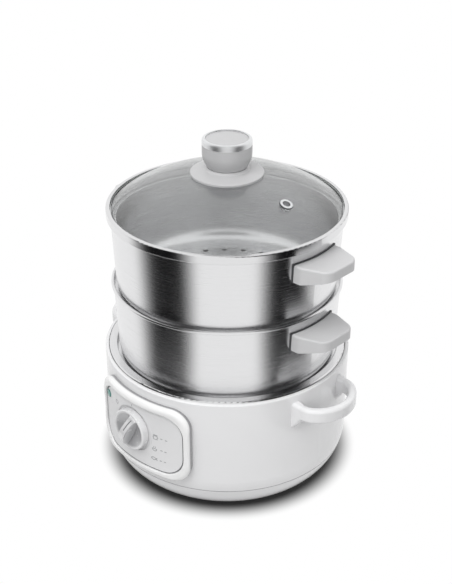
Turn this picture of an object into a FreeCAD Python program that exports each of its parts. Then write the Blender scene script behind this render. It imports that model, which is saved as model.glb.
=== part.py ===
"""Electric food steamer: a base with a steel pot, two stacked steel tiers and a glass lid.

Millimetres. +Z is up, the origin is on the steamer's axis at table level, and the control
panel faces -Y. Every sub-part is a PartDesign body bound to the sheet "Sizes".
"""
import FreeCAD, Part

import math
import os

import Sketcher
from FreeCAD import Vector

DRIVING_SIZES = {
    # housing
    "foot_height": 3.0,
    "foot_radius": 9.0,
    "foot_recess": 1.5,
    "foot_inset": 18.0,
    "foot_count": 4,
    "body_radius": 135.0,
    "body_wall": 3.0,
    "bowl_radius": 50.0,
    "seam_height": 14.0,
    "parting_height": 41.0,
    "parting_width": 0.8,
    "parting_depth": 0.5,
    "rim_height": 153.0,
    "shell_lip_drop": 1.2,
    "shell_lip_round": 1.5,
    "rim_clearance": 0.5,
    "shelf_clearance": 0.6,
    "cover_lip_height": 4.0,
    "cover_lip_wall": 2.0,
    "lip_clearance": 0.4,
    "cover_screw_inset": 6.0,
    "cover_screw_boss": 4.5,
    "cover_screw_length": 16.0,
    "boss_top": 28.0,
    "boss_cap": 2.0,
    "boss_count": 4,
    "rib_wall": 3.0,
    "rib_bottom": 19.5,
    "shield_boss_inset": 16.0,
    "shield_boss_radius": 5.0,
    "vent_count": 12,
    "vent_circle": 38.0,
    "vent_length": 18.0,
    "vent_width": 3.2,
    # steel pot and what heats it
    "steel_wall": 0.8,
    "pot_rim_inset": 4.0,
    "pot_rim_thickness": 3.5,
    "pot_floor": 50.0,
    "pot_corner": 25.0,
    "seal_thickness": 1.0,
    "seal_margin": 0.8,
    "heater_plate_margin": 10.0,
    "heater_plate_thickness": 7.0,
    "heater_tube_radius": 3.3,
    "heater_tube_inset": 11.0,
    "heater_tube_span": 320.0,
    "heater_terminal_radius": 2.0,
    "heater_terminal_length": 9.0,
    "shield_gap": 1.7,
    "shield_wall": 0.6,
    "shield_floor": 30.0,
    "shield_corner": 25.0,
    "shield_drop": 13.0,
    "shield_hole": 14.0,
    "post_radius": 4.0,
    "post_count": 3,
    "thermostat_radius": 9.0,
    "thermostat_height": 7.0,
    "blade_distance": 3.0,
    "blade_width": 6.4,
    "blade_length": 6.0,
    "blade_thickness": 0.8,
    "fuse_radius": 2.5,
    "fuse_length": 16.0,
    "fuse_offset": 30.0,
    "fuse_clip_width": 8.0,
    "fuse_clip_wall": 0.8,
    # rim shared by the pot and the tiers, and the way a tier seats in it
    "rim_flange_width": 9.2,
    "ledge_depth": 6.0,
    "ledge_width": 6.3,
    "ledge_nose": 0.6,
    "seat_gap": 0.3,
    # tiers
    "tier_height": 92.0,
    "tier_rim_width": 3.2,
    "tier_bead": 1.6,
    "tier_taper": 2.5,
    "tier_corner": 20.0,
    "floor_seam": 6.0,
    "floor_margin": 1.6,
    "steam_hole_rings": 4,
    "steam_hole_radius": 3.0,
    "steam_hole_pitch": 21.0,
    # tier handles
    "grip_width": 64.0,
    "grip_reach": 34.0,
    "grip_front_width": 44.0,
    "grip_drop": 13.5,
    "grip_root_depth": 19.0,
    "grip_tip_depth": 11.0,
    "grip_wall": 3.2,
    "grip_ceiling": 5.0,
    "grip_round": 14.0,
    "grip_edge_round": 2.0,
    "grip_inset": 14.0,
    "grip_shoulder": 6.0,
    "grip_screw_reach": 3.6,
    "gasket_thickness": 1.2,
    "gasket_border": 0.9,
    "bracket_width": 26.0,
    "bracket_height": 12.0,
    "bracket_tab_width": 18.0,
    "bracket_tab_reach": 18.0,
    "bracket_hole_reach": 12.6,
    "bracket_margin": 1.5,
    # lid
    "lid_overhang": 2.0,
    "band_wall": 0.9,
    "band_skirt": 1.2,
    "band_round": 1.2,
    "band_width": 4.2,
    "lid_lip_clearance": 1.0,
    "lid_lip_depth": 5.0,
    "gasket_wall": 0.5,
    "glass_thickness": 4.0,
    "band_overlap": 1.5,
    "glass_flat_step": 1.0,
    "dome_rise": 38.0,
    "vent_distance": 80.0,
    "vent_bore": 4.0,
    "eyelet_wall": 0.8,
    "eyelet_flange": 7.0,
    "grommet_wall": 1.2,
    "grommet_lift": 0.5,
    "collar_wall": 0.8,
    "eyelet_lip": 0.9,
    "vent_tail": 0.4,
    "vent_cut": 10.0,
    "knob_disc_radius": 38.5,
    "knob_seat_height": 4.5,
    "knob_disc_edge": 2.6,
    "knob_disc_round": 1.2,
    "knob_cove": 4.0,
    "knob_neck_radius": 21.3,
    "grip_top_radius": 26.0,
    "grip_height": 31.0,
    "grip_cup_depth": 3.4,
    "grip_foot_round": 2.0,
    "grip_belly_height": 15.0,
    "trim_ring_width": 3.6,
    "trim_ring_height": 6.5,
    "trim_ring_round": 3.0,
    "trim_ring_bevel": 0.5,
    "cap_drop": 1.4,
    "cap_crown": 0.9,
    "lid_screw_radius": 2.5,
    "lid_screw_head": 5.5,
    "lid_screw_head_height": 3.0,
    "lid_screw_drive": 1.6,
    "lid_screw_grip": 17.0,
    "washer_radius": 20.0,
    "washer_wall": 1.0,
    "washer_drop": 3.2,
    # control panel
    "panel_proud": 8.0,
    "panel_span": 55.0,
    "panel_tall": 89.0,
    "panel_drop": 12.0,
    "panel_corner": 22.0,
    "face_corner": 24.0,
    "bezel_width": 7.5,
    "bezel_round": 3.6,
    "bezel_side": 1.3,
    "face_drop": 1.3,
    "face_wall": 2.8,
    "face_gap": 0.4,
    "lens_gap": 0.15,
    "face_skirt": 2.5,
    "window_margin": 4.5,
    "dial_angle": 2.0,
    "dial_drop": 41.0,
    "dial_ring_gap": 3.3,
    "dial_depth": 2.7,
    "dial_wall": 2.5,
    "dial_cup_wall": 1.6,
    "root_sink": 0.6,
    "knob_gap": 0.3,
    "knob_radius": 23.0,
    "knob_disc": 8.5,
    "knob_dish": 5.0,
    "knob_reach": 18.0,
    "knob_bar_width": 12.0,
    "knob_waist": 3.7,
    "knob_waist_height": 15.5,
    "knob_bar_inset": 0.8,
    "knob_rim": 1.8,
    "knob_rim_round": 1.4,
    "knob_foot_round": 0.6,
    "knob_scoop_radius": 20.0,
    "knob_turn": 25.0,
    "pointer_start": 5.0,
    "pointer_end": 19.2,
    "pointer_width": 1.1,
    "pointer_depth": 0.7,
    "shaft_radius": 3.0,
    "shaft_gap": 0.05,
    "shaft_grip": 8.0,
    "lamp_drop": 22.0,
    "lamp_angle": 21.0,
    "lens_radius": 4.6,
    "lens_flange": 5.2,
    "lens_flange_wall": 1.0,
    "lens_proud": 0.7,
    "lens_round": 0.6,
    "lamp_gap": 0.1,
    "lamp_hole_depth": 10.0,
    "lamp_radius": 2.5,
    "peg_radius": 1.2,
    "peg_offset": 6.6,
    "board_width": 11.0,
    "board_height": 16.0,
    "board_thickness": 1.6,
    "board_stand_off": 10.5,
    "switch_width": 36.0,
    "switch_depth": 11.4,
    "switch_stand_off": 2.9,
    "bracket_plate_wall": 1.2,
    "bracket_plate_margin": 3.5,
    "bracket_plate_height": 30.0,
    "switch_post_gap": 3.5,
    "switch_post_radius": 3.0,
    "switch_screw_reach": 4.0,
    "switch_round": 3.0,
    "switch_bore_depth": 8.0,
    "shaft_end_gap": 0.5,
    "tab_length": 8.0,
    "tab_inset": 5.0,
    "screw_radius": 1.5,
    "screw_head_radius": 2.9,
    "screw_head_height": 1.6,
    "thread_gap": 0.05,
    "screw_play": 0.2,
    "cut_over": 1.0,
    # mains inlet at the back
    "inlet_height": 78.0,
    "inlet_width": 28.0,
    "inlet_tall": 20.0,
    "inlet_flange_width": 46.0,
    "inlet_flange_tall": 26.0,
    "inlet_flange_wall": 2.0,
    "inlet_land_proud": 1.5,
    "inlet_land_margin": 4.0,
    "inlet_land_round": 5.0,
    "inlet_flange_round": 4.0,
    "inlet_depth": 16.0,
    "inlet_wall": 2.4,
    "inlet_fit": 0.2,
    "inlet_cavity_depth": 14.0,
    "inlet_screw_spacing": 37.0,
    "inlet_screw_reach": 9.0,
    "pin_width": 4.0,
    "pin_thickness": 2.0,
    "pin_reach": 8.0,
    "pin_spacing": 14.0,
    "pin_offset": 2.0,
    # side handles of the base
    "side_handle_drop": 20.0,
    "side_handle_half_width": 35.0,
    "side_handle_sink": 4.0,
    "handle_hole_margin": 9.0,
    "strap_height": 17.0,
    "strap_thickness": 9.0,
    "strap_round": 4.0,
    "strap_bend": 20.0,
    "strap_bow": 50.0,
    "flare_height": 36.0,
    "flare_drop": 8.0,
    "flare_width": 13.0,
    "flare_reach": 8.0,
    "flare_sink": 12.0,
    "flare_waist_sink": 1.0,
    "flare_waist_width": 10.4,
    "flare_waist_height": 26.0,
    "flare_waist_drop": 3.6,
    "side_screw_reach": 19.0,
    "side_screw_length": 14.0,
    # rack in the pot
    "rack_height": 105.0,
    "rack_clearance": 4.5,
    "rack_rim": 7.0,
    "rack_sheet": 1.0,
    "rack_bend": 3.0,
    "rack_hole_rings": 3,
    "rack_hole_radius": 4.0,
    "rack_hole_pitch": 24.6,
    "leg_radius": 2.0,
    "leg_inset": 4.5,
    "leg_count": 3,
    "leg_half_width": 14.0,
    "leg_bend": 8.0,
}

DEGREES_PER_RADIAN = 57.29577951308232
FULL_TURN = 360
QUARTER_TURN = 90
THROUGH_ALL = 1
PIECE_FACTS = "{}: {} solid(s), {:.0f} mm3, z {:.1f} to {:.1f}"
UPWARD, FORWARD, SIDEWAYS = "+Z", "-Y", "+X"


class Size:
    """A size known both as a number and as the sheet expression that gives it."""

    def __init__(self, value, text):
        self.value = float(value)
        self.text = text

    def __add__(self, other):
        return combine(self, "+", other, lambda a, b: a + b)

    def __sub__(self, other):
        return combine(self, "-", other, lambda a, b: a - b)

    def __mul__(self, other):
        return combine(self, "*", other, lambda a, b: a * b)

    def __truediv__(self, other):
        return combine(self, "/", other, lambda a, b: a / b)

    def __neg__(self):
        return Size(-self.value, f"(0 - {self.text})")


def as_size(number):
    """A plain number as a Size; a Size is returned as it is."""
    if isinstance(number, Size):
        return number
    return Size(number, f"({number})" if number < 0 else f"{number}")


def combine(left, sign, right, rule):
    """The Size that one arithmetic step gives."""
    right = as_size(right)
    return Size(rule(left.value, right.value), f"({left.text} {sign} {right.text})")


def square_root(size):
    """The Size whose square is this one."""
    return Size(math.sqrt(size.value), f"sqrt({size.text})")


def sine(angle):
    """Sine of an angle in degrees."""
    return Size(math.sin(math.radians(angle.value)), f"sin({angle.text})")


def cosine(angle):
    """Cosine of an angle in degrees."""
    return Size(math.cos(math.radians(angle.value)), f"cos({angle.text})")


def tangent(angle):
    """Tangent of an angle in degrees."""
    return Size(math.tan(math.radians(angle.value)), f"tan({angle.text})")


def arc_reach(radius, drop):
    """How far a circle of this radius reaches sideways at this distance from its centre."""
    return square_root(radius * radius - drop * drop)


class Sheet:
    """The spreadsheet of driving sizes; each one is read as an attribute."""

    def __init__(self, document, sizes):
        cells = document.addObject("Spreadsheet::Sheet", "Sizes")
        for row, (alias, value) in enumerate(sizes.items(), start=1):
            cells.set(f"A{row}", alias)
            cells.set(f"B{row}", str(value))
            cells.setAlias(f"B{row}", alias)
            setattr(self, alias, Size(value, f"Sizes.{alias}"))
        document.recompute()


DOC = FreeCAD.newDocument("FoodSteamer")
S = Sheet(DOC, DRIVING_SIZES)
NODES = []


# ---------------------------------------------------------------- making features

def new_body(label, rise=None):
    """A PartDesign body named for its node, raised by `rise` where one is given."""
    body = DOC.addObject("PartDesign::Body", label)
    body.Label = label
    if rise is not None:
        body.setExpression("Placement", placement_text((0, 0, rise), None))
    NODES.append(body)
    return body


def datum(body, role):
    """The body's own origin plane or axis with this role."""
    return next(item for item in body.Origin.OriginFeatures if item.Role == role)


def placement_text(at, turns):
    """The expression of a placement: a point, and turns as (axis vector, angle) pairs."""
    point = "; ".join(as_size(value).text for value in at)
    rotation = "rotation(vector(0; 0; 1); 0)"
    if turns:
        steps = []
        for axis, angle in turns:
            direction = "; ".join(str(value) for value in axis)
            steps.append(f"rotation(vector({direction}); {as_size(angle).text})")
        rotation = " * ".join(steps)
    return f"placement(vector({point}); {rotation})"


def bind(item, **sizes):
    """Bind each named property to the expression of its Size."""
    for name, size in sizes.items():
        item.setExpression(name, as_size(size).text)


def arc_centre(start, end, radius):
    """Centre of the arc from start to end; a positive radius turns left on the way."""
    chord = end - start
    side = Vector(-chord.y, chord.x, 0).normalize()
    offset = math.sqrt(max(radius * radius - (chord.Length / 2) ** 2, 0.0))
    return (start + end) * 0.5 + side * (offset if radius > 0 else -offset)


def arc_through(start, end, radius):
    """The arc of under half a turn from start to end, as sketch geometry."""
    centre = arc_centre(start, end, radius)
    first = math.atan2(start.y - centre.y, start.x - centre.x)
    last = math.atan2(end.y - centre.y, end.x - centre.x)
    if radius < 0:
        first, last = last, first
    circle = Part.Circle(centre, Vector(0, 0, 1), abs(radius))
    return Part.ArcOfCircle(circle, first, last)


def fix(sketch, kind, geometry, position, size):
    """Hold one coordinate of a sketch point at a Size."""
    place = Sketcher.Constraint(kind, -1, 1, geometry, position, size.value)
    index = sketch.addConstraint(place)
    sketch.setExpression(f"Constraints[{index}]", size.text)


def new_sketch(body, name, plane, lift=None):
    """An empty sketch on one of the body's origin planes, lifted along its normal."""
    sketch = body.newObject("Sketcher::SketchObject", name)
    sketch.AttachmentSupport = [(datum(body, plane + "_Plane"), "")]
    sketch.MapMode = "FlatFace"
    if lift is not None:
        sketch.setExpression("AttachmentOffset.Base.z", as_size(lift).text)
    return sketch


def draw_outline(sketch, corners, closed=True):
    """Draw straight sides and arcs through corners, each (across, up) or (across, up, radius).

    A radius belongs to the side that arrives at its corner, and is positive where that
    side turns left.
    """
    corners = [tuple(as_size(value) for value in corner) for corner in corners]
    points = [Vector(corner[0].value, corner[1].value, 0) for corner in corners]
    count = len(corners)
    sides = count if closed else count - 1
    ends = []
    for side in range(sides):
        target = (side + 1) % count
        bend = corners[target][2] if len(corners[target]) == 3 else None
        if bend is None:
            index = sketch.addGeometry(Part.LineSegment(points[side], points[target]), False)
            ends.append((index, 1, 2))
            continue
        index = sketch.addGeometry(arc_through(points[side], points[target], bend.value), False)
        limit = sketch.addConstraint(Sketcher.Constraint("Radius", index, abs(bend.value)))
        size = bend if bend.value > 0 else -bend
        sketch.setExpression(f"Constraints[{limit}]", size.text)
        ends.append((index, 1, 2) if bend.value > 0 else (index, 2, 1))
    joints = sides if closed else sides - 1
    for side in range(joints):
        geometry, _, last = ends[side]
        following, first, _ = ends[(side + 1) % sides]
        sketch.addConstraint(Sketcher.Constraint("Coincident", geometry, last, following, first))
    for side, (geometry, first, last) in enumerate(ends):
        fix(sketch, "DistanceX", geometry, first, corners[side][0])
        fix(sketch, "DistanceY", geometry, first, corners[side][1])
    if not closed:
        geometry, _, last = ends[-1]
        fix(sketch, "DistanceX", geometry, last, corners[-1][0])
        fix(sketch, "DistanceY", geometry, last, corners[-1][1])


def draw_circles(sketch, circles):
    """Draw circles, each (across, up, radius)."""
    for circle in circles:
        across, up, radius = (as_size(value) for value in circle)
        shape = Part.Circle(Vector(across.value, up.value, 0), Vector(0, 0, 1), radius.value)
        index = sketch.addGeometry(shape, False)
        limit = sketch.addConstraint(Sketcher.Constraint("Radius", index, radius.value))
        sketch.setExpression(f"Constraints[{limit}]", radius.text)
        fix(sketch, "DistanceX", index, 3, across)
        fix(sketch, "DistanceY", index, 3, up)


def outline(body, name, plane, corners, lift=None, closed=True):
    """A sketch of one outline on one of the body's origin planes."""
    sketch = new_sketch(body, name, plane, lift)
    draw_outline(sketch, corners, closed)
    return sketch


def finish_feature(body, feature, removes):
    """Recompute, and stop if a cut took nothing away or a feature added nothing."""
    before = feature.BaseFeature.Shape.Volume if feature.BaseFeature else 0.0
    DOC.recompute()
    change = feature.Shape.Volume - before
    if (removes and change >= 0) or (not removes and change <= 0):
        raise ValueError(f"{body.Label}: {feature.Name} changes nothing")
    return feature


def revolve(body, name, corners, span=None, cut=False, plane="XZ"):
    """Turn an outline about Z, all the way round or over a span centred on its plane."""
    sketch = outline(body, name + "_outline", plane, corners)
    feature = body.newObject("PartDesign::Groove" if cut else "PartDesign::Revolution", name)
    feature.Profile = sketch
    feature.ReferenceAxis = (sketch, ["V_Axis"])
    if span is None:
        feature.Angle = FULL_TURN
    else:
        feature.Midplane = True
        bind(feature, Angle=span)
    return finish_feature(body, feature, cut)


def extrude(body, name, sketch, length=None, cut=False, back=False, middle=False):
    """Pad a sketch, or pocket it; with no length a pocket goes right through."""
    feature = body.newObject("PartDesign::Pocket" if cut else "PartDesign::Pad", name)
    feature.Profile = sketch
    feature.Reversed = back
    feature.Midplane = middle
    if length is None:
        feature.Type = THROUGH_ALL
    else:
        bind(feature, Length=length)
    return finish_feature(body, feature, cut)


def rod(body, name, radius, length, at, heading=UPWARD, cut=False):
    """A cylinder, or a round hole, from the point `at` along its heading."""
    x, y, z = (as_size(value) for value in at)
    plane, across, up, lift = {
        UPWARD: ("XY", x, y, z),
        FORWARD: ("XZ", x, z, -y),
        SIDEWAYS: ("YZ", y, z, x),
    }[heading]
    sketch = new_sketch(body, name + "_outline", plane, lift)
    draw_circles(sketch, [(across, up, radius)])
    return extrude(body, name, sketch, length, cut=cut, back=cut)


def block(body, name, low, extent, cut=False):
    """A box, or a box-shaped hole, from its lowest corner."""
    left, near, bottom = (as_size(value) for value in low)
    right = left + extent[0]
    far = near + extent[1]
    corners = [(left, near), (right, near), (right, far), (left, far)]
    sketch = outline(body, name + "_outline", "XY", corners, lift=bottom)
    return extrude(body, name, sketch, extent[2], cut=cut, back=cut)


def tilted_rod(body, name, radius, length, at, turns, cut=False):
    """A cylinder, or a round hole, whose own Z axis is turned away from the body's axes."""
    kind = "PartDesign::SubtractiveCylinder" if cut else "PartDesign::AdditiveCylinder"
    feature = body.newObject(kind, name)
    bind(feature, Radius=radius, Height=length)
    feature.setExpression("Placement", placement_text(at, turns))
    return finish_feature(body, feature, cut)


def tilted_block(body, name, low, extent, turns):
    """A box from its lowest corner, turned with its own axes."""
    feature = body.newObject("PartDesign::AdditiveBox", name)
    bind(feature, Length=extent[0], Width=extent[1], Height=extent[2])
    feature.setExpression("Placement", placement_text(low, turns))
    finish_feature(body, feature, False)


def repeat_round(body, name, features, count):
    """Repeat features evenly round the Z axis."""
    pattern = body.newObject("PartDesign::PolarPattern", name)
    pattern.Originals = features
    pattern.Axis = (datum(body, "Z_Axis"), [""])
    pattern.Angle = FULL_TURN
    bind(pattern, Occurrences=count)
    body.Tip = pattern
    DOC.recompute()


def mirror(body, name, features, plane):
    """Repeat features on the other side of an origin plane."""
    feature = body.newObject("PartDesign::Mirrored", name)
    feature.Originals = features
    feature.MirrorPlane = (datum(body, plane + "_Plane"), [""])
    body.Tip = feature
    DOC.recompute()


def round_edges(body, name, radius, chosen):
    """Fillet the edges of the body's last feature that the test `chosen` picks."""
    base = body.Tip
    names = [f"Edge{i}" for i, edge in enumerate(base.Shape.Edges, start=1) if chosen(edge)]
    if not names:
        raise ValueError(f"{body.Label}: {name} finds no edge")
    feature = body.newObject("PartDesign::Fillet", name)
    feature.Base = (base, names)
    bind(feature, Radius=radius)
    DOC.recompute()


def is_line(edge):
    """A straight edge."""
    return isinstance(edge.Curve, Part.Line)


def is_upright(edge):
    """A straight edge along Z."""
    return is_line(edge) and abs(edge.Curve.Direction.z) > 0.999


def runs_along_y(edge):
    """A straight edge along Y."""
    return is_line(edge) and abs(edge.Curve.Direction.y) > 0.999


def is_level_line(edge):
    """A straight edge that keeps one height."""
    return is_line(edge) and abs(edge.Curve.Direction.z) < 1e-6


def middle_of(edge):
    """The point half-way along an edge."""
    return edge.valueAt((edge.FirstParameter + edge.LastParameter) / 2)


def lies_at_radius(edge, radius, slack=0.02):
    """Every tried point of the edge is this far from the Z axis."""
    first, last = edge.FirstParameter, edge.LastParameter
    points = [edge.valueAt(first + (last - first) * step / 4) for step in range(5)]
    return all(abs(math.hypot(point.x, point.y) - radius) < slack for point in points)


def lies_at_height(edge, height, slack=0.02):
    """Every tried point of the edge is at this height in the body's own frame."""
    first, last = edge.FirstParameter, edge.LastParameter
    points = [edge.valueAt(first + (last - first) * step / 4) for step in range(5)]
    return all(abs(point.z - height) < slack for point in points)


# ---------------------------------------------------------------- shared geometry

BOWL_CENTRE = S.foot_height + S.bowl_radius
BOWL_AXIS = S.body_radius - S.bowl_radius
BOWL_INNER = S.bowl_radius - S.body_wall
SHELL_INNER = S.body_radius - S.body_wall
COVER_FLOOR = S.foot_height + S.body_wall
SEAM_OUTER = BOWL_AXIS + arc_reach(S.bowl_radius, BOWL_CENTRE - S.seam_height)
SEAM_INNER = BOWL_AXIS + arc_reach(BOWL_INNER, BOWL_CENTRE - S.seam_height)
FOOT_CIRCLE = BOWL_AXIS - S.foot_inset
COVER_SCREW_CIRCLE = BOWL_AXIS - S.cover_screw_inset
SHIELD_BOSS_CIRCLE = BOWL_AXIS - S.shield_boss_inset
HEATER_TUBE_CIRCLE = SHIELD_BOSS_CIRCLE - S.heater_tube_inset
HEATER_PLATE_RADIUS = SHIELD_BOSS_CIRCLE + S.heater_plate_margin

POT_RIM_RADIUS = S.body_radius - S.pot_rim_inset
CUP_RADIUS = POT_RIM_RADIUS - S.rim_flange_width
LEDGE_RADIUS = CUP_RADIUS - S.ledge_width
WALL_TOP_RADIUS = CUP_RADIUS + S.steel_wall
NOSE_DROP = S.ledge_depth + S.ledge_nose
NOSE_AXIS = LEDGE_RADIUS + S.ledge_nose
SHELF_HEIGHT = S.rim_height - S.pot_rim_thickness - S.seal_thickness
SHELF_INNER = WALL_TOP_RADIUS + S.shelf_clearance
SEAL_INNER = SHELF_INNER + S.seal_margin
SEAL_OUTER = POT_RIM_RADIUS - S.seal_margin
SHIELD_RADIUS = LEDGE_RADIUS + S.steel_wall + S.shield_gap + S.shield_wall
SHIELD_TOP = S.rim_height - S.shield_drop
HEATER_BOTTOM = S.pot_floor - S.steel_wall - S.heater_plate_thickness
RACK_RADIUS = LEDGE_RADIUS - S.rack_clearance
LEG_CIRCLE = LEDGE_RADIUS - S.pot_corner - S.leg_inset

TAPER_COS = cosine(S.tier_taper)
TAPER_SIN = sine(S.tier_taper)
TAPER_TAN = tangent(S.tier_taper)
TIER_RIM_RADIUS = CUP_RADIUS + S.tier_rim_width
TIER_WALL_TOP = S.tier_height - S.tier_bead * 2
TIER_CORNER_AXIS = (
    WALL_TOP_RADIUS
    - S.tier_corner * TAPER_COS
    - (TIER_WALL_TOP - S.tier_corner + S.tier_corner * TAPER_SIN) * TAPER_TAN
)
TIER_FLOOR_RADIUS = TIER_CORNER_AXIS - S.floor_margin
TIER_FLOOR_OPENING = TIER_FLOOR_RADIUS - S.floor_seam
SEAT_REACH = S.tier_corner + S.ledge_nose + S.seat_gap
SEAT_RISE = arc_reach(SEAT_REACH, NOSE_AXIS - TIER_CORNER_AXIS) - S.tier_corner
LOWER_TIER_RISE = S.rim_height - NOSE_DROP + SEAT_RISE
UPPER_TIER_RISE = LOWER_TIER_RISE + S.tier_height - NOSE_DROP + SEAT_RISE
LID_RISE = UPPER_TIER_RISE + S.tier_height

PANEL_TOP = S.rim_height - S.panel_drop
PANEL_BOTTOM = PANEL_TOP - S.panel_tall
PANEL_RADIUS = S.body_radius + S.panel_proud
FACE_RADIUS = PANEL_RADIUS - S.face_drop
FACE_INNER = FACE_RADIUS - S.face_wall
DIAL_HEIGHT = PANEL_TOP - S.dial_drop
DIAL_FLOOR = FACE_RADIUS - S.dial_depth
DIAL_BACK = DIAL_FLOOR - S.dial_wall
KNOB_BACK = DIAL_FLOOR + S.knob_gap
DIAL_RECESS_RADIUS = S.knob_radius + S.dial_ring_gap
SWITCH_FRONT = DIAL_BACK - S.switch_stand_off
PLATE_BACK = SWITCH_FRONT - S.bracket_plate_wall
SWITCH_BACK = PLATE_BACK - S.switch_depth
POST_ACROSS = S.switch_width / 2 + S.switch_post_gap
LAMP_HEIGHT = PANEL_TOP - S.lamp_drop
BOARD_DISTANCE = FACE_INNER - S.board_stand_off

INLET_LAND = S.body_radius + S.inlet_land_proud
INLET_INNER_END = INLET_LAND - S.inlet_depth
SIDE_HANDLE_HEIGHT = S.rim_height - S.side_handle_drop
SIDE_HANDLE_ROOT = S.body_radius - S.side_handle_sink
STRAP_START = SIDE_HANDLE_ROOT + S.flare_reach
FLARE_WAIST = S.body_radius - S.flare_waist_sink

DIAGONAL = cosine(as_size(45))
LOOSE_HOLE = S.screw_radius + S.screw_play
THREADED_HOLE = S.screw_radius + S.thread_gap


def tier_wall(height, inset=0):
    """Radius of a tier's tapered wall at a height; `inset` is measured square to the wall."""
    skin = S.tier_corner - inset
    foot = TIER_CORNER_AXIS + skin * TAPER_COS
    return foot + (height - S.tier_corner + skin * TAPER_SIN) * TAPER_TAN


def span_of(width, radius):
    """The angle in degrees that a width covers on a circle of this radius."""
    return width / radius * DEGREES_PER_RADIAN


# ---------------------------------------------------------------- base housing

def make_base_shell():
    """The white housing: a bowl-shaped wall, a shelf for the pot and its openings."""
    body = new_body("base_shell")
    lip_top = S.rim_height - S.shell_lip_drop
    lip_inner = POT_RIM_RADIUS + S.rim_clearance
    shelf_bottom = SHELF_HEIGHT - S.body_wall
    revolve(body, "wall", [
        (SEAM_OUTER, S.seam_height),
        (S.body_radius, BOWL_CENTRE, S.bowl_radius),
        (S.body_radius, lip_top - S.shell_lip_round),
        (S.body_radius - S.shell_lip_round, lip_top, S.shell_lip_round),
        (lip_inner, lip_top),
        (lip_inner, SHELF_HEIGHT),
        (SHELF_INNER, SHELF_HEIGHT),
        (SHELF_INNER, shelf_bottom),
        (SHELL_INNER, shelf_bottom),
        (SHELL_INNER, BOWL_CENTRE),
        (SEAM_INNER, S.seam_height, -BOWL_INNER),
    ])
    groove_low = S.parting_height - S.parting_width / 2
    groove_high = S.parting_height + S.parting_width / 2
    wall_at_groove = BOWL_AXIS + arc_reach(S.bowl_radius, BOWL_CENTRE - S.parting_height)
    revolve(body, "parting_groove", [
        (wall_at_groove - S.parting_depth, groove_low),
        (S.body_radius + S.cut_over, groove_low),
        (S.body_radius + S.cut_over, groove_high),
        (wall_at_groove - S.parting_depth, groove_high),
    ], cut=True)
    add_screw_bosses(body)
    add_inlet_land(body)
    cut_panel_window(body)
    cut_side_handle_holes(body)


def add_screw_bosses(body):
    """Four ribbed bosses inside the wall that take the cover's screws."""
    middle = BOWL_INNER + S.body_wall / 2
    boss = rod(body, "boss", S.cover_screw_boss, S.boss_top - COVER_FLOOR,
               (COVER_SCREW_CIRCLE, 0, COVER_FLOOR))
    rib = outline(body, "rib_outline", "XZ", [
        (COVER_SCREW_CIRCLE, S.rib_bottom),
        (BOWL_AXIS + arc_reach(middle, BOWL_CENTRE - S.rib_bottom), S.rib_bottom),
        (BOWL_AXIS + arc_reach(middle, BOWL_CENTRE - S.boss_top), S.boss_top),
        (COVER_SCREW_CIRCLE, S.boss_top),
    ])
    rib = extrude(body, "rib", rib, S.rib_wall, middle=True)
    bore = rod(body, "boss_bore", THREADED_HOLE, S.boss_top - COVER_FLOOR - S.boss_cap,
               (COVER_SCREW_CIRCLE, 0, COVER_FLOOR), cut=True)
    repeat_round(body, "bosses", [boss, rib, bore], S.boss_count)


def add_inlet_land(body):
    """A flat raised land at the back, with the opening for the inlet and its screw holes."""
    width = S.inlet_flange_width + S.inlet_land_margin * 2
    tall = S.inlet_flange_tall + S.inlet_land_margin * 2
    start = SHELL_INNER - S.cut_over
    block(body, "land", (-(width / 2), start, S.inlet_height - tall / 2),
          (width, INLET_LAND - start, tall))
    round_edges(body, "land_corners", S.inlet_land_round, lambda edge: runs_along_y(edge)
                and middle_of(edge).y > SHELL_INNER.value)
    opening_width = S.inlet_width + S.inlet_fit * 2
    opening_tall = S.inlet_tall + S.inlet_fit * 2
    block(body, "inlet_opening",
          (-(opening_width / 2), INLET_INNER_END, S.inlet_height - opening_tall / 2),
          (opening_width, INLET_LAND - INLET_INNER_END + S.cut_over, opening_tall), cut=True)
    hole = rod(body, "inlet_screw_hole", THREADED_HOLE, S.inlet_screw_reach,
               (S.inlet_screw_spacing / 2, INLET_LAND + S.cut_over, S.inlet_height), FORWARD,
               cut=True)
    mirror(body, "inlet_screw_holes", [hole], "YZ")


def cut_panel_window(body):
    """The opening behind the control panel."""
    margin = S.bezel_width + S.window_margin
    span = S.panel_span - span_of(margin * 2, PANEL_RADIUS)
    section = panel_section(SHELL_INNER - S.cut_over, S.body_radius + S.cut_over,
                            PANEL_BOTTOM + margin, PANEL_TOP - margin)
    revolve(body, "panel_window", section, span=span, cut=True, plane="YZ")


def cut_side_handle_holes(body):
    """Holes for the screws that hold the side handles from inside."""
    depth = S.body_wall + S.handle_hole_margin * 2
    starts = {
        "right": SHELL_INNER - S.handle_hole_margin,
        "left": -(S.body_radius + S.handle_hole_margin),
    }
    for name, start in starts.items():
        hole = rod(body, name + "_handle_hole", LOOSE_HOLE, depth,
                   (start, S.side_handle_half_width, SIDE_HANDLE_HEIGHT), SIDEWAYS, cut=True)
        mirror(body, name + "_handle_holes", [hole], "XZ")


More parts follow.
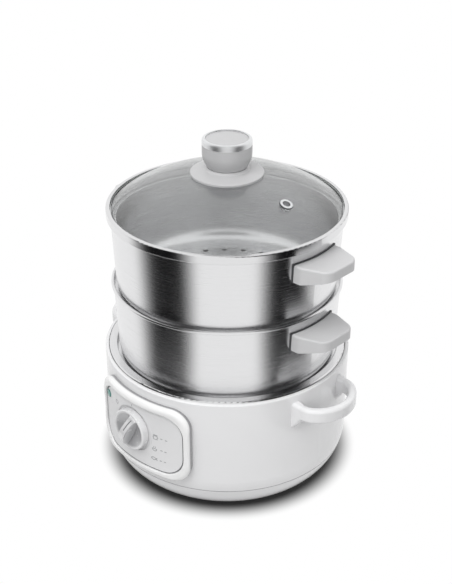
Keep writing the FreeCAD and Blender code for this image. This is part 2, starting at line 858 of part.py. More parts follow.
def make_bottom_cover():
    """The cover that closes the housing, with feet recesses, vents and shield bosses."""
    body = new_body("base_bottom_cover")
    lip_outer = SEAM_INNER - S.lip_clearance
    lip_inner = lip_outer - S.cover_lip_wall
    lip_foot = BOWL_CENTRE - arc_reach(BOWL_INNER, lip_inner - BOWL_AXIS)
    revolve(body, "dish", [
        (0, S.foot_height),
        (BOWL_AXIS, S.foot_height),
        (SEAM_OUTER, S.seam_height, S.bowl_radius),
        (lip_outer, S.seam_height),
        (lip_outer, S.seam_height + S.cover_lip_height),
        (lip_inner, S.seam_height + S.cover_lip_height),
        (lip_inner, lip_foot),
        (BOWL_AXIS, COVER_FLOOR, -BOWL_INNER),
        (0, COVER_FLOOR),
    ])
    boss_offset = SHIELD_BOSS_CIRCLE * DIAGONAL
    boss = rod(body, "shield_boss", S.shield_boss_radius, S.shield_floor - COVER_FLOOR,
               (boss_offset, boss_offset, COVER_FLOOR))
    repeat_round(body, "shield_bosses", [boss], S.post_count)
    foot_offset = FOOT_CIRCLE * DIAGONAL
    recess = rod(body, "foot_recess", S.foot_radius + S.screw_play, S.foot_recess,
                 (foot_offset, foot_offset, S.foot_height), cut=True)
    repeat_round(body, "foot_recesses", [recess], S.foot_count)
    bore = rod(body, "screw_hole", LOOSE_HOLE, S.body_wall + S.cut_over,
               (COVER_SCREW_CIRCLE, 0, S.foot_height), cut=True)
    sink = rod(body, "screw_sink", S.screw_head_radius + S.screw_play, S.screw_head_height,
               (COVER_SCREW_CIRCLE, 0, S.foot_height), cut=True)
    repeat_round(body, "screw_holes", [bore, sink], S.boss_count)
    half_length = S.vent_length / 2
    half_width = S.vent_width / 2
    slot = outline(body, "vent_outline", "XY", [
        (S.vent_circle - half_length, -half_width, half_width),
        (S.vent_circle + half_length, -half_width),
        (S.vent_circle + half_length + half_width, 0, half_width),
        (S.vent_circle + half_length, half_width, half_width),
        (S.vent_circle - half_length, half_width),
        (S.vent_circle - half_length - half_width, 0, half_width),
    ], lift=S.foot_height)
    slot = extrude(body, "vent", slot, S.body_wall + S.cut_over, cut=True, back=True)
    repeat_round(body, "vents", [slot], S.vent_count)


def make_feet():
    """Four rubber feet, each set into a recess of the cover."""
    body = new_body("feet")
    offset = FOOT_CIRCLE * DIAGONAL
    pad = rod(body, "pad", S.foot_radius, S.foot_height + S.foot_recess, (offset, offset, 0))
    repeat_round(body, "pads", [pad], S.foot_count)


def make_cover_screws():
    """Four screws that hold the cover to the housing."""
    body = new_body("cover_screws")
    top = S.foot_height + S.screw_head_height
    head = rod(body, "head", S.screw_head_radius, S.screw_head_height - S.screw_play,
               (COVER_SCREW_CIRCLE, 0, S.foot_height + S.screw_play))
    shank = rod(body, "shank", S.screw_radius, S.cover_screw_length,
                (COVER_SCREW_CIRCLE, 0, top))
    repeat_round(body, "screws", [head, shank], S.boss_count)


# ---------------------------------------------------------------- pot and heater

def make_inner_pot():
    """The fixed steel pot: rolled rim, cup and ledge for a tier, wall and floor."""
    body = new_body("inner_pot")
    wall = LEDGE_RADIUS + S.steel_wall
    corner_axis = LEDGE_RADIUS - S.pot_corner
    corner_top = S.pot_floor + S.pot_corner
    ledge = S.rim_height - S.ledge_depth
    bead = S.pot_rim_thickness / 2
    bead_axis = POT_RIM_RADIUS - bead
    revolve(body, "sheet", [
        (0, S.pot_floor - S.steel_wall),
        (corner_axis, S.pot_floor - S.steel_wall),
        (wall, corner_top, S.pot_corner + S.steel_wall),
        (wall, ledge - S.steel_wall),
        (WALL_TOP_RADIUS, ledge - S.steel_wall),
        (WALL_TOP_RADIUS, S.rim_height - S.pot_rim_thickness),
        (bead_axis, S.rim_height - S.pot_rim_thickness),
        (POT_RIM_RADIUS, S.rim_height - bead, bead),
        (bead_axis, S.rim_height, bead),
        (WALL_TOP_RADIUS, S.rim_height),
        (CUP_RADIUS, S.rim_height - S.steel_wall, S.steel_wall),
        (CUP_RADIUS, ledge),
        (NOSE_AXIS, ledge),
        (LEDGE_RADIUS, ledge - S.ledge_nose, S.ledge_nose),
        (LEDGE_RADIUS, corner_top),
        (corner_axis, S.pot_floor, -S.pot_corner),
        (0, S.pot_floor),
    ])


def make_pot_seal():
    """Silicone ring between the pot's rim and the housing's shelf."""
    body = new_body("pot_seal")
    top = SHELF_HEIGHT + S.seal_thickness
    revolve(body, "ring", [
        (SEAL_INNER, SHELF_HEIGHT),
        (SEAL_OUTER, SHELF_HEIGHT),
        (SEAL_OUTER, top),
        (SEAL_INNER, top),
    ])


def make_heating_plate():
    """Cast aluminium plate under the pot, with a groove for the heating tube."""
    body = new_body("heating_plate")
    top = S.pot_floor - S.steel_wall
    groove = S.heater_tube_radius + S.thread_gap
    revolve(body, "plate", [
        (0, HEATER_BOTTOM),
        (HEATER_TUBE_CIRCLE - groove, HEATER_BOTTOM),
        (HEATER_TUBE_CIRCLE, HEATER_BOTTOM + groove, -groove),
        (HEATER_TUBE_CIRCLE + groove, HEATER_BOTTOM, -groove),
        (HEATER_PLATE_RADIUS, HEATER_BOTTOM),
        (HEATER_PLATE_RADIUS, top),
        (0, top),
    ])


def make_heating_tube():
    """Sheathed element bent to an open ring, with a terminal at each end."""
    body = new_body("heating_tube")
    ring = new_sketch(body, "section", "XZ")
    draw_circles(ring, [(-HEATER_TUBE_CIRCLE, HEATER_BOTTOM, S.heater_tube_radius)])
    tube = body.newObject("PartDesign::Revolution", "ring")
    tube.Profile = ring
    tube.ReferenceAxis = (ring, ["V_Axis"])
    tube.Midplane = True
    bind(tube, Angle=S.heater_tube_span)
    finish_feature(body, tube, False)
    half_gap = (as_size(FULL_TURN) - S.heater_tube_span) / 2
    across = HEATER_TUBE_CIRCLE * cosine(half_gap)
    aside = HEATER_TUBE_CIRCLE * sine(half_gap)
    end = rod(body, "terminal", S.heater_terminal_radius, S.heater_terminal_length,
              (across, aside, HEATER_BOTTOM - S.heater_terminal_length))
    mirror(body, "terminals", [end], "XZ")


def make_thermostat():
    """Disc thermostat against the plate, with two blade terminals."""
    body = new_body("thermostat")
    rod(body, "can", S.thermostat_radius, S.thermostat_height,
        (0, 0, HEATER_BOTTOM - S.thermostat_height))
    blade = block(body, "blade", (S.blade_distance, -(S.blade_width / 2),
                                  HEATER_BOTTOM - S.thermostat_height - S.blade_length),
                  (S.blade_thickness, S.blade_width, S.blade_length + S.blade_thickness))
    mirror(body, "blades", [blade], "YZ")


def make_thermal_fuse():
    """Thermal fuse lying against the plate, with its clip."""
    body = new_body("thermal_fuse")
    rod(body, "fuse", S.fuse_radius, S.fuse_length,
        (-(S.fuse_length / 2), S.fuse_offset, HEATER_BOTTOM - S.fuse_radius), SIDEWAYS)
    clip = S.fuse_radius * 2 + S.fuse_clip_wall * 2
    block(body, "clip", (-(S.fuse_clip_width / 2), S.fuse_offset - clip / 2, HEATER_BOTTOM - clip),
          (S.fuse_clip_width, clip, clip))


def make_heat_shield():
    """Steel can that keeps the pot's heat from the housing and the switch."""
    body = new_body("heat_shield")
    axis = SHIELD_RADIUS - S.shield_corner
    corner_top = S.shield_floor + S.shield_corner
    inner = SHIELD_RADIUS - S.shield_wall
    revolve(body, "can", [
        (S.shield_hole, S.shield_floor),
        (axis, S.shield_floor),
        (SHIELD_RADIUS, corner_top, S.shield_corner),
        (SHIELD_RADIUS, SHIELD_TOP),
        (inner, SHIELD_TOP),
        (inner, corner_top),
        (axis, S.shield_floor + S.shield_wall, -(S.shield_corner - S.shield_wall)),
        (S.shield_hole, S.shield_floor + S.shield_wall),
    ])
    offset = SHIELD_BOSS_CIRCLE * DIAGONAL
    hole = rod(body, "post_hole", LOOSE_HOLE, S.shield_wall + S.cut_over,
               (offset, offset, S.shield_floor), cut=True)
    repeat_round(body, "post_holes", [hole], S.post_count)


def make_pot_posts():
    """Three spacers that stand the heating plate on the shield."""
    body = new_body("pot_posts")
    foot = S.shield_floor + S.shield_wall
    offset = SHIELD_BOSS_CIRCLE * DIAGONAL
    post = rod(body, "post", S.post_radius, HEATER_BOTTOM - foot, (offset, offset, foot))
    repeat_round(body, "posts", [post], S.post_count)


# ---------------------------------------------------------------- control panel

def panel_section(inner, outer, bottom, top):
    """Section of a curved panel, on the -Y side of the axis."""
    return [
        (-outer, bottom),
        (-inner, bottom),
        (-inner, top),
        (-outer, top),
    ]


def make_panel_bezel():
    """Curved, rounded frame that stands proud of the housing round the panel."""
    body = new_body("panel_bezel")
    revolve(body, "frame", panel_section(S.body_radius, PANEL_RADIUS, PANEL_BOTTOM, PANEL_TOP),
            span=S.panel_span, plane="YZ")
    round_edges(body, "outer_corners", S.panel_corner, is_level_line)
    bottom = PANEL_BOTTOM + S.bezel_width
    top = PANEL_TOP - S.bezel_width
    span = S.panel_span - span_of(S.bezel_width * 2, PANEL_RADIUS)
    section = panel_section(S.body_radius - S.cut_over, PANEL_RADIUS + S.cut_over, bottom, top)
    revolve(body, "opening", section, span=span, cut=True, plane="YZ")
    limit = math.radians(span.value / 2 + 0.5)

    def is_opening_corner(edge):
        point = middle_of(edge)
        return is_level_line(edge) and abs(math.atan2(point.x, -point.y)) < limit

    round_edges(body, "inner_corners", S.face_corner, is_opening_corner)
    low_side = (PANEL_BOTTOM + S.bezel_side).value
    high_side = (PANEL_TOP - S.bezel_side).value
    far_side = math.radians((S.panel_span / 2 - span_of(S.bezel_side, PANEL_RADIUS)).value)

    def is_outer_front(edge):
        point = middle_of(edge)
        beyond = not low_side < point.z < high_side
        return lies_at_radius(edge, PANEL_RADIUS.value) and (
            beyond or abs(math.atan2(point.x, -point.y)) > far_side)

    round_edges(body, "front_edge", S.bezel_round, is_outer_front)


def make_panel_face():
    """Curved panel inside the bezel, with the dial's cup, lamp hole and switch posts."""
    body = new_body("panel_face")
    inset = S.bezel_width + S.face_gap
    bottom = PANEL_BOTTOM + inset
    top = PANEL_TOP - inset
    span = S.panel_span - span_of(inset * 2, PANEL_RADIUS)
    revolve(body, "plate", panel_section(S.body_radius, FACE_RADIUS, bottom, top),
            span=span, plane="YZ")
    round_edges(body, "corners", S.face_corner - S.face_gap, is_level_line)
    hollow_span = span - span_of(S.face_skirt * 2, PANEL_RADIUS)
    section = panel_section(S.body_radius - S.cut_over, FACE_INNER, bottom + S.face_skirt,
                            top - S.face_skirt)
    revolve(body, "hollow", section, span=hollow_span, cut=True, plane="YZ")
    turns = panel_turns(S.dial_angle)
    tilted_rod(body, "dial_cup", DIAL_RECESS_RADIUS + S.dial_cup_wall,
               FACE_INNER + S.root_sink - DIAL_BACK, dial_point(DIAL_BACK), turns)
    tilted_rod(body, "dial_recess", DIAL_RECESS_RADIUS, FACE_RADIUS - DIAL_FLOOR + S.cut_over,
               dial_point(DIAL_FLOOR), turns, cut=True)
    tilted_rod(body, "shaft_hole", S.shaft_radius + S.shaft_gap, S.dial_wall + S.cut_over,
               dial_point(DIAL_BACK), turns, cut=True)
    for name, side in (("right", 1), ("left", -1)):
        foot = dial_point(SWITCH_FRONT, POST_ACROSS * side)
        tilted_rod(body, name + "_switch_post", S.switch_post_radius,
                   DIAL_BACK - SWITCH_FRONT + S.root_sink, foot, turns)
        tilted_rod(body, name + "_post_pilot", THREADED_HOLE, S.switch_screw_reach, foot, turns,
                   cut=True)
    tilted_rod(body, "lamp_hole", S.lens_radius + S.lens_gap, S.lamp_hole_depth,
               lamp_point(FACE_INNER - S.cut_over, 0), lamp_turns(), cut=True)
    start = BOARD_DISTANCE + S.board_thickness
    for name, side in (("lower_peg", -1), ("upper_peg", 1)):
        tilted_rod(body, name, S.peg_radius, FACE_INNER - start + S.root_sink,
                   lamp_point(start, S.peg_offset * side), lamp_turns())


def panel_point(angle, distance, aside, height):
    """A point on the panel's left half, this far from the axis along a line at this angle.

    `aside` is measured to the right, square to that line.
    """
    across = aside * cosine(angle) - distance * sine(angle)
    along = -(distance * cosine(angle) + aside * sine(angle))
    return (across, along, height)


def panel_turns(angle):
    """Turns that point +Z out of the panel on a line at this angle."""
    return [((0, 0, 1), -angle), ((1, 0, 0), QUARTER_TURN)]


def dial_point(distance, aside=0):
    """A point on the dial's axis, this far from the steamer's axis, or beside it."""
    return panel_point(S.dial_angle, distance, as_size(aside), DIAL_HEIGHT)


def lamp_point(distance, offset):
    """A point on the lamp's line, this far from the axis and this far above the lamp."""
    return panel_point(S.lamp_angle, distance, as_size(0), LAMP_HEIGHT + offset)


def lamp_turns():
    """Turns that point +Z out of the panel at the lamp."""
    return panel_turns(S.lamp_angle)


def turn_to_dial(body):
    """Turn a body that is modelled facing -Y round to the dial."""
    body.setExpression("Placement", placement_text((0, 0, 0), [((0, 0, 1), -S.dial_angle)]))


def make_indicator():
    """Lens, lamp and its small board behind the panel."""
    lens = new_body("indicator_lens")
    flange_front = FACE_INNER - S.screw_play
    flange_back = flange_front - S.lens_flange_wall
    lens_front = FACE_RADIUS + S.lens_proud
    tilted_rod(lens, "flange", S.lens_flange, S.lens_flange_wall, lamp_point(flange_back, 0),
               lamp_turns())
    tilted_rod(lens, "window", S.lens_radius, lens_front - flange_front,
               lamp_point(flange_front, 0), lamp_turns())
    tip = Vector(*(size.value for size in lamp_point(lens_front, 0)))
    round_edges(lens, "dome", S.lens_round, lambda edge: isinstance(edge.Curve, Part.Circle)
                and (edge.Curve.Center - tip).Length < 0.01)
    lamp = new_body("indicator_lamp")
    start = BOARD_DISTANCE + S.board_thickness
    tilted_rod(lamp, "bulb", S.lamp_radius, flange_back - S.lamp_gap - start,
               lamp_point(start, 0), lamp_turns())
    board = new_body("lamp_board")
    tilted_block(board, "board", board_corner(),
                 (S.board_width, S.board_height, S.board_thickness), lamp_turns())


def board_corner():
    """Lowest corner of the lamp board, in the turned frame of the lamp."""
    across, along, height = lamp_point(BOARD_DISTANCE, 0)
    half = S.board_width / 2
    return (across - half * cosine(S.lamp_angle), along + half * sine(S.lamp_angle),
            height - S.board_height / 2)


def make_switch():
    """Rotary timer switch, its mounting plate, terminals and two screws."""
    half = S.switch_width / 2
    case = new_body("switch_body")
    turn_to_dial(case)
    block(case, "case", (-half, -PLATE_BACK, DIAL_HEIGHT - half),
          (S.switch_width, PLATE_BACK - SWITCH_BACK, S.switch_width))
    round_edges(case, "corners", S.switch_round, runs_along_y)
    rod(case, "shaft_bore", S.shaft_radius + S.shaft_gap, S.switch_bore_depth + S.cut_over,
        (0, -(PLATE_BACK - S.switch_bore_depth), DIAL_HEIGHT), FORWARD, cut=True)
    plate = new_body("switch_plate")
    turn_to_dial(plate)
    plate_low = DIAL_HEIGHT - S.bracket_plate_height / 2
    plate_half = POST_ACROSS + S.bracket_plate_margin
    block(plate, "plate", (-plate_half, -SWITCH_FRONT, plate_low),
          (plate_half * 2, S.bracket_plate_wall, S.bracket_plate_height))
    through = S.bracket_plate_wall + S.cut_over
    rod(plate, "shaft_hole", S.shaft_radius + S.cut_over, through,
        (0, -PLATE_BACK, DIAL_HEIGHT), FORWARD, cut=True)
    hole = rod(plate, "screw_hole", LOOSE_HOLE, through,
               (POST_ACROSS, -PLATE_BACK, DIAL_HEIGHT), FORWARD, cut=True)
    mirror(plate, "screw_holes", [hole], "YZ")
    screws = new_body("switch_screws")
    turn_to_dial(screws)
    head_start = PLATE_BACK - S.screw_head_height
    head = rod(screws, "head", S.screw_head_radius, S.screw_head_height,
               (POST_ACROSS, -head_start, DIAL_HEIGHT), FORWARD)
    shank = rod(screws, "shank", S.screw_radius, S.bracket_plate_wall + S.switch_screw_reach - S.screw_play,
                (POST_ACROSS, -PLATE_BACK, DIAL_HEIGHT), FORWARD)
    mirror(screws, "pair", [head, shank], "YZ")
    tabs = new_body("switch_terminals")
    turn_to_dial(tabs)
    for name, height in (("lower_tab", DIAL_HEIGHT - half - S.tab_length),
                         ("upper_tab", DIAL_HEIGHT + half)):
        block(tabs, name, (-(S.blade_width / 2), -(PLATE_BACK - S.tab_inset), height),
              (S.blade_width, S.blade_thickness, S.tab_length))


def knob_placement():
    """The knob's frame: +Z out of the panel, turned to its rest angle."""
    return placement_text(dial_point(KNOB_BACK),
                          panel_turns(S.dial_angle) + [((0, 0, 1), -S.knob_turn)])


def make_control_knob():
    """Dial knob: dished disc, arched finger bar with scooped sides, and a pointer line."""
    body = new_body("control_knob")
    body.setExpression("Placement", knob_placement())
    bar_end = S.knob_radius - S.knob_bar_inset
    low = S.knob_disc - S.knob_bar_inset * 2
    lift = S.knob_reach - low
    bow = (bar_end * bar_end + lift * lift) / (lift * 2)
    arch = outline(body, "bar_outline", "YZ", [
        (-bar_end, S.knob_bar_inset),
        (bar_end, S.knob_bar_inset),
        (bar_end, low),
        (0, S.knob_reach, bow),
        (-bar_end, low, bow),
    ])
    extrude(body, "bar", arch, S.knob_bar_width, middle=True)
    scoop_centre = S.knob_scoop_radius + S.knob_waist
    scoop = rod(body, "scoop", S.knob_scoop_radius, S.knob_radius * 2,
                (scoop_centre, S.knob_radius, S.knob_waist_height), FORWARD, cut=True)
    mirror(body, "scoops", [scoop], "YZ")
    rim = S.knob_radius - S.knob_rim
    dish_floor = S.knob_disc - S.knob_dish
    dish = (rim * rim + S.knob_dish * S.knob_dish) / (S.knob_dish * 2)
    revolve(body, "disc", [
        (0, 0),
        (S.knob_radius - S.knob_foot_round, 0),
        (S.knob_radius, S.knob_foot_round, S.knob_foot_round),
        (S.knob_radius, S.knob_disc - S.knob_rim_round),
        (S.knob_radius - S.knob_rim_round, S.knob_disc, S.knob_rim_round),
        (rim, S.knob_disc),
        (0, dish_floor, -dish),
    ])
    rod(body, "shaft_hole", S.shaft_radius + S.shaft_gap, S.shaft_grip + S.shaft_end_gap,
        (0, 0, 0), cut=True)
    line_radius = bow - S.pointer_depth
    line_centre = S.knob_reach - bow
    above = S.knob_reach + S.cut_over
    line = outline(body, "pointer_outline", "YZ", [
        (S.pointer_start, line_centre + arc_reach(line_radius, S.pointer_start)),
        (S.pointer_start, above),
        (S.pointer_end, above),
        (S.pointer_end, line_centre + arc_reach(line_radius, S.pointer_end)),
    ])
    extrude(body, "pointer", line, S.pointer_width, cut=True, middle=True)


def make_knob_shaft():
    """Steel shaft from the switch into the knob."""
    body = new_body("knob_shaft")
    turn_to_dial(body)
    start = PLATE_BACK - S.switch_bore_depth + S.shaft_end_gap
    rod(body, "shaft", S.shaft_radius, KNOB_BACK - start + S.shaft_grip, (0, -start, DIAL_HEIGHT),
        FORWARD)


# ---------------------------------------------------------------- mains inlet

def make_inlet():
    """Appliance inlet with three pins and two flange screws."""
    socket = new_body("inlet_socket")
    half_width = S.inlet_width / 2
    half_tall = S.inlet_tall / 2
    block(socket, "shroud", (-half_width, INLET_INNER_END, S.inlet_height - half_tall),
          (S.inlet_width, INLET_LAND - INLET_INNER_END, S.inlet_tall))
    block(socket, "flange",
          (-(S.inlet_flange_width / 2), INLET_LAND, S.inlet_height - S.inlet_flange_tall / 2),
          (S.inlet_flange_width, S.inlet_flange_wall, S.inlet_flange_tall))
    round_edges(socket, "flange_corners", S.inlet_flange_round, lambda edge: runs_along_y(edge)
                and middle_of(edge).y > INLET_LAND.value)
    front = INLET_LAND + S.inlet_flange_wall
    mouth = front - S.inlet_cavity_depth
    block(socket, "cavity", (-(half_width - S.inlet_wall), mouth,
                             S.inlet_height - half_tall + S.inlet_wall),
          (S.inlet_width - S.inlet_wall * 2, S.inlet_cavity_depth + S.cut_over,
           S.inlet_tall - S.inlet_wall * 2), cut=True)
    screw_across = S.inlet_screw_spacing / 2
    hole = rod(socket, "flange_hole", LOOSE_HOLE, S.inlet_flange_wall + S.cut_over,
               (screw_across, front, S.inlet_height), FORWARD, cut=True)
    sink_depth = S.inlet_flange_wall / 2
    sink = rod(socket, "flange_sink", S.screw_head_radius + S.screw_play, sink_depth,
               (screw_across, front, S.inlet_height), FORWARD, cut=True)
    mirror(socket, "flange_holes", [hole, sink], "YZ")
    pins = new_body("inlet_pins")
    outer = block(pins, "outer_pin", (S.pin_spacing / 2 - S.pin_thickness / 2, mouth,
                                      S.inlet_height - S.pin_offset - S.pin_width / 2),
                  (S.pin_thickness, S.pin_reach, S.pin_width))
    mirror(pins, "outer_pins", [outer], "YZ")
    block(pins, "middle_pin", (-(S.pin_thickness / 2), mouth,
                               S.inlet_height + S.pin_offset - S.pin_width / 2),
          (S.pin_thickness, S.pin_reach, S.pin_width))
    screws = new_body("inlet_screws")
    head_back = front - sink_depth
    head = rod(screws, "head", S.screw_head_radius, sink_depth - S.lamp_gap,
               (screw_across, front - S.lamp_gap, S.inlet_height), FORWARD)
    shank = rod(screws, "shank", S.screw_radius, S.inlet_screw_reach - S.inlet_flange_wall,
                (screw_across, head_back, S.inlet_height), FORWARD)
    mirror(screws, "pair", [head, shank], "YZ")


# ---------------------------------------------------------------- side handles

def strap_path():
    """Centre line of a side handle seen from above: bend, long bow, bend."""
    reach_angle = as_size(QUARTER_TURN) - S.strap_bow
    bend_end = STRAP_START + S.strap_bend * sine(reach_angle)
    bend_side = S.side_handle_half_width - S.strap_bend + S.strap_bend * cosine(reach_angle)
    bow = S.strap_bend + (S.side_handle_half_width - S.strap_bend) / sine(S.strap_bow)
    return [
        (STRAP_START, -S.side_handle_half_width),
        (bend_end, -bend_side, S.strap_bend),
        (bend_end, bend_side, bow),
        (STRAP_START, S.side_handle_half_width, S.strap_bend),
    ]


def rounded_rectangle(centre_across, centre_up, width, height, corner):
    """Corners of a rectangle with round corners, going round to the left."""
    left = centre_across - width / 2
    right = centre_across + width / 2
    low = centre_up - height / 2
    high = centre_up + height / 2
    return [
        (left + corner, low),
        (right - corner, low),
        (right, low + corner, corner),
        (right, high - corner),
        (right - corner, high, corner),
        (left + corner, high),
        (left, high - corner, corner),
        (left, low + corner),
    ]


def handle_section(body, name, lift, side, width, height, drop=0):
    """A rounded section of a side handle's root, on the YZ plane lifted along X."""
    corners = rounded_rectangle(S.side_handle_half_width * side, SIDE_HANDLE_HEIGHT - drop,
                                width, height, S.strap_round)
    first = corners[0]
    closing = (first[0], first[1], S.strap_round)
    return outline(body, name, "YZ", [closing] + corners[1:], lift=lift)


def make_side_handle(label, turn):
    """Loop handle with two flared roots that follow the housing's wall."""
    body = new_body(label)
    body.setExpression("Placement", placement_text((0, 0, 0), [((0, 0, 1), turn)]))
    path = outline(body, "path", "XY", strap_path(), lift=SIDE_HANDLE_HEIGHT, closed=False)
    strap = body.newObject("PartDesign::AdditivePipe", "strap")
    strap.Profile = handle_section(body, "strap_section", STRAP_START, -1, S.strap_thickness,
                                   S.strap_height)
    strap.Spine = (path, ["Edge1", "Edge2", "Edge3"])
    finish_feature(body, strap, False)
    for name, side in (("near_flare", -1), ("far_flare", 1)):
        foot = handle_section(body, name + "_foot", S.body_radius - S.flare_sink, side,
                              S.flare_width, S.flare_height, S.flare_drop)
        waist = handle_section(body, name + "_waist", FLARE_WAIST, side,
                               S.flare_waist_width, S.flare_waist_height, S.flare_waist_drop)
        neck = handle_section(body, name + "_neck", STRAP_START, side, S.strap_thickness,
                              S.strap_height)
        flare = body.newObject("PartDesign::AdditiveLoft", name)
        flare.Profile = foot
        flare.Sections = [waist, neck]
        finish_feature(body, flare, False)
    rod(body, "housing_clearance", S.body_radius, S.flare_height * 2,
        (0, 0, SIDE_HANDLE_HEIGHT - S.flare_height), cut=True)
    bore = rod(body, "screw_bore", THREADED_HOLE, S.side_screw_reach,
               (SIDE_HANDLE_ROOT - S.flare_reach, S.side_handle_half_width,
                SIDE_HANDLE_HEIGHT), SIDEWAYS, cut=True)
    mirror(body, "screw_bores", [bore], "XZ")


def make_side_handle_screws():
    """Four screws, two from inside the housing into each side handle."""
    body = new_body("side_handle_screws")
    seat_side = S.side_handle_half_width + S.screw_head_radius
    across = arc_reach(SHELL_INNER, seat_side) - S.lamp_gap
    parts = []
    for name, sign in (("front", -1), ("back", 1)):
        side = S.side_handle_half_width * sign
        parts.append(rod(body, name + "_head", S.screw_head_radius, S.screw_head_height,
                         (across - S.screw_head_height, side, SIDE_HANDLE_HEIGHT), SIDEWAYS))
        parts.append(rod(body, name + "_shank", S.screw_radius, S.side_screw_length,
                         (across, side, SIDE_HANDLE_HEIGHT), SIDEWAYS))
    repeat_round(body, "both_sides", parts, 2)


# ---------------------------------------------------------------- perforated sheets

def punch_rings(body, rings, radius, pitch, top, thickness):
    """Punch a centre hole and rings of six, twelve, eighteen ... holes through a sheet."""
    depth = thickness + S.cut_over * 2
    low = top - thickness - S.cut_over
    rod(body, "centre_hole", radius, depth, (0, 0, low), cut=True)
    for ring in range(1, int(rings.value) + 1):
        hole = rod(body, f"ring_{ring}_hole", radius, depth, (pitch * ring, 0, low), cut=True)
        repeat_round(body, f"ring_{ring}", [hole], 6 * ring)


def make_steam_rack():
    """Perforated plate in the pot, with a turned-down rim and three wire legs."""
    rack = new_body("steam_rack")
    rim_bottom = S.rack_height - S.rack_rim
    inner = RACK_RADIUS - S.rack_sheet
    bottom = S.rack_height - S.rack_sheet
    bend = S.rack_bend
    revolve(rack, "plate", [
        (0, bottom),
        (inner - bend, bottom),
        (inner, bottom - bend, -bend),
        (inner, rim_bottom),
        (RACK_RADIUS, rim_bottom),
        (RACK_RADIUS, bottom - bend),
        (inner - bend, S.rack_height, bend + S.rack_sheet),
        (0, S.rack_height),
    ])
    punch_rings(rack, S.rack_hole_rings, S.rack_hole_radius, S.rack_hole_pitch, S.rack_height,
                S.rack_sheet)
    legs = new_body("rack_legs")
    foot = S.pot_floor + S.seat_gap + S.leg_radius
    bend = S.leg_bend
    half = S.leg_half_width
    path = outline(legs, "leg_path", "YZ", [
        (-half, bottom),
        (-half, foot + bend),
        (-half + bend, foot, bend),
        (half - bend, foot),
        (half, foot + bend, bend),
        (half, bottom),
    ], lift=LEG_CIRCLE, closed=False)
    section = new_sketch(legs, "leg_section", "XY", bottom)
    draw_circles(section, [(LEG_CIRCLE, -half, S.leg_radius)])
    wire = legs.newObject("PartDesign::AdditivePipe", "leg")
    wire.Profile = section
    wire.Spine = (path, [f"Edge{i}" for i in range(1, 6)])
    finish_feature(legs, wire, False)
    repeat_round(legs, "legs", [wire], S.leg_count)


# ---------------------------------------------------------------- tiers

def make_tier(prefix, rise):
    """One tier: drum, perforated floor, two handles and what fastens them."""
    make_drum(prefix + "_drum", rise)
    make_tier_floor(prefix + "_floor", rise)
    make_tier_handle(prefix + "_handle_right", rise, 0)
    make_tier_handle(prefix + "_handle_left", rise, 180)
    make_handle_gaskets(prefix + "_handle_gaskets", rise)
    make_handle_brackets(prefix + "_handle_brackets", rise)
    make_handle_screws(prefix + "_handle_screws", rise)


def make_drum(label, rise):
    """Steel drum: rolled bead, cup and ledge, tapered wall, round bottom corner."""
    body = new_body(label, rise)
    inner_corner = S.tier_corner - S.steel_wall
    ledge = S.tier_height - S.ledge_depth
    ledge_under = ledge - S.ledge_nose * 2
    bead_axis = TIER_RIM_RADIUS - S.tier_bead
    corner_end = S.tier_corner - S.tier_corner * TAPER_SIN
    inner_end = S.tier_corner - inner_corner * TAPER_SIN
    revolve(body, "sheet", [
        (TIER_FLOOR_OPENING, 0),
        (TIER_CORNER_AXIS, 0),
        (tier_wall(corner_end), corner_end, S.tier_corner),
        (WALL_TOP_RADIUS, TIER_WALL_TOP),
        (bead_axis, TIER_WALL_TOP),
        (TIER_RIM_RADIUS, S.tier_height - S.tier_bead, S.tier_bead),
        (bead_axis, S.tier_height, S.tier_bead),
        (WALL_TOP_RADIUS, S.tier_height),
        (CUP_RADIUS, S.tier_height - S.steel_wall, S.steel_wall),
        (CUP_RADIUS, ledge),
        (NOSE_AXIS, ledge),
        (LEDGE_RADIUS, ledge - S.ledge_nose, S.ledge_nose),
        (NOSE_AXIS, ledge_under, S.ledge_nose),
        (tier_wall(ledge_under, S.steel_wall), ledge_under),
        (tier_wall(inner_end, S.steel_wall), inner_end),
        (TIER_CORNER_AXIS, S.steel_wall, -inner_corner),
        (TIER_FLOOR_OPENING, S.steel_wall),
    ])


def make_tier_floor(label, rise):
    """Perforated floor plate, seamed onto the drum's bottom flange."""
    body = new_body(label, rise)
    rod(body, "plate", TIER_FLOOR_RADIUS, S.steel_wall, (0, 0, S.steel_wall))
    punch_rings(body, S.steam_hole_rings, S.steam_hole_radius, S.steam_hole_pitch,
                S.steel_wall * 2, S.steel_wall)


def grip_levels():
    """Top and root-bottom heights of a tier handle."""
    top = S.tier_height - S.grip_drop
    return top, top - S.grip_root_depth


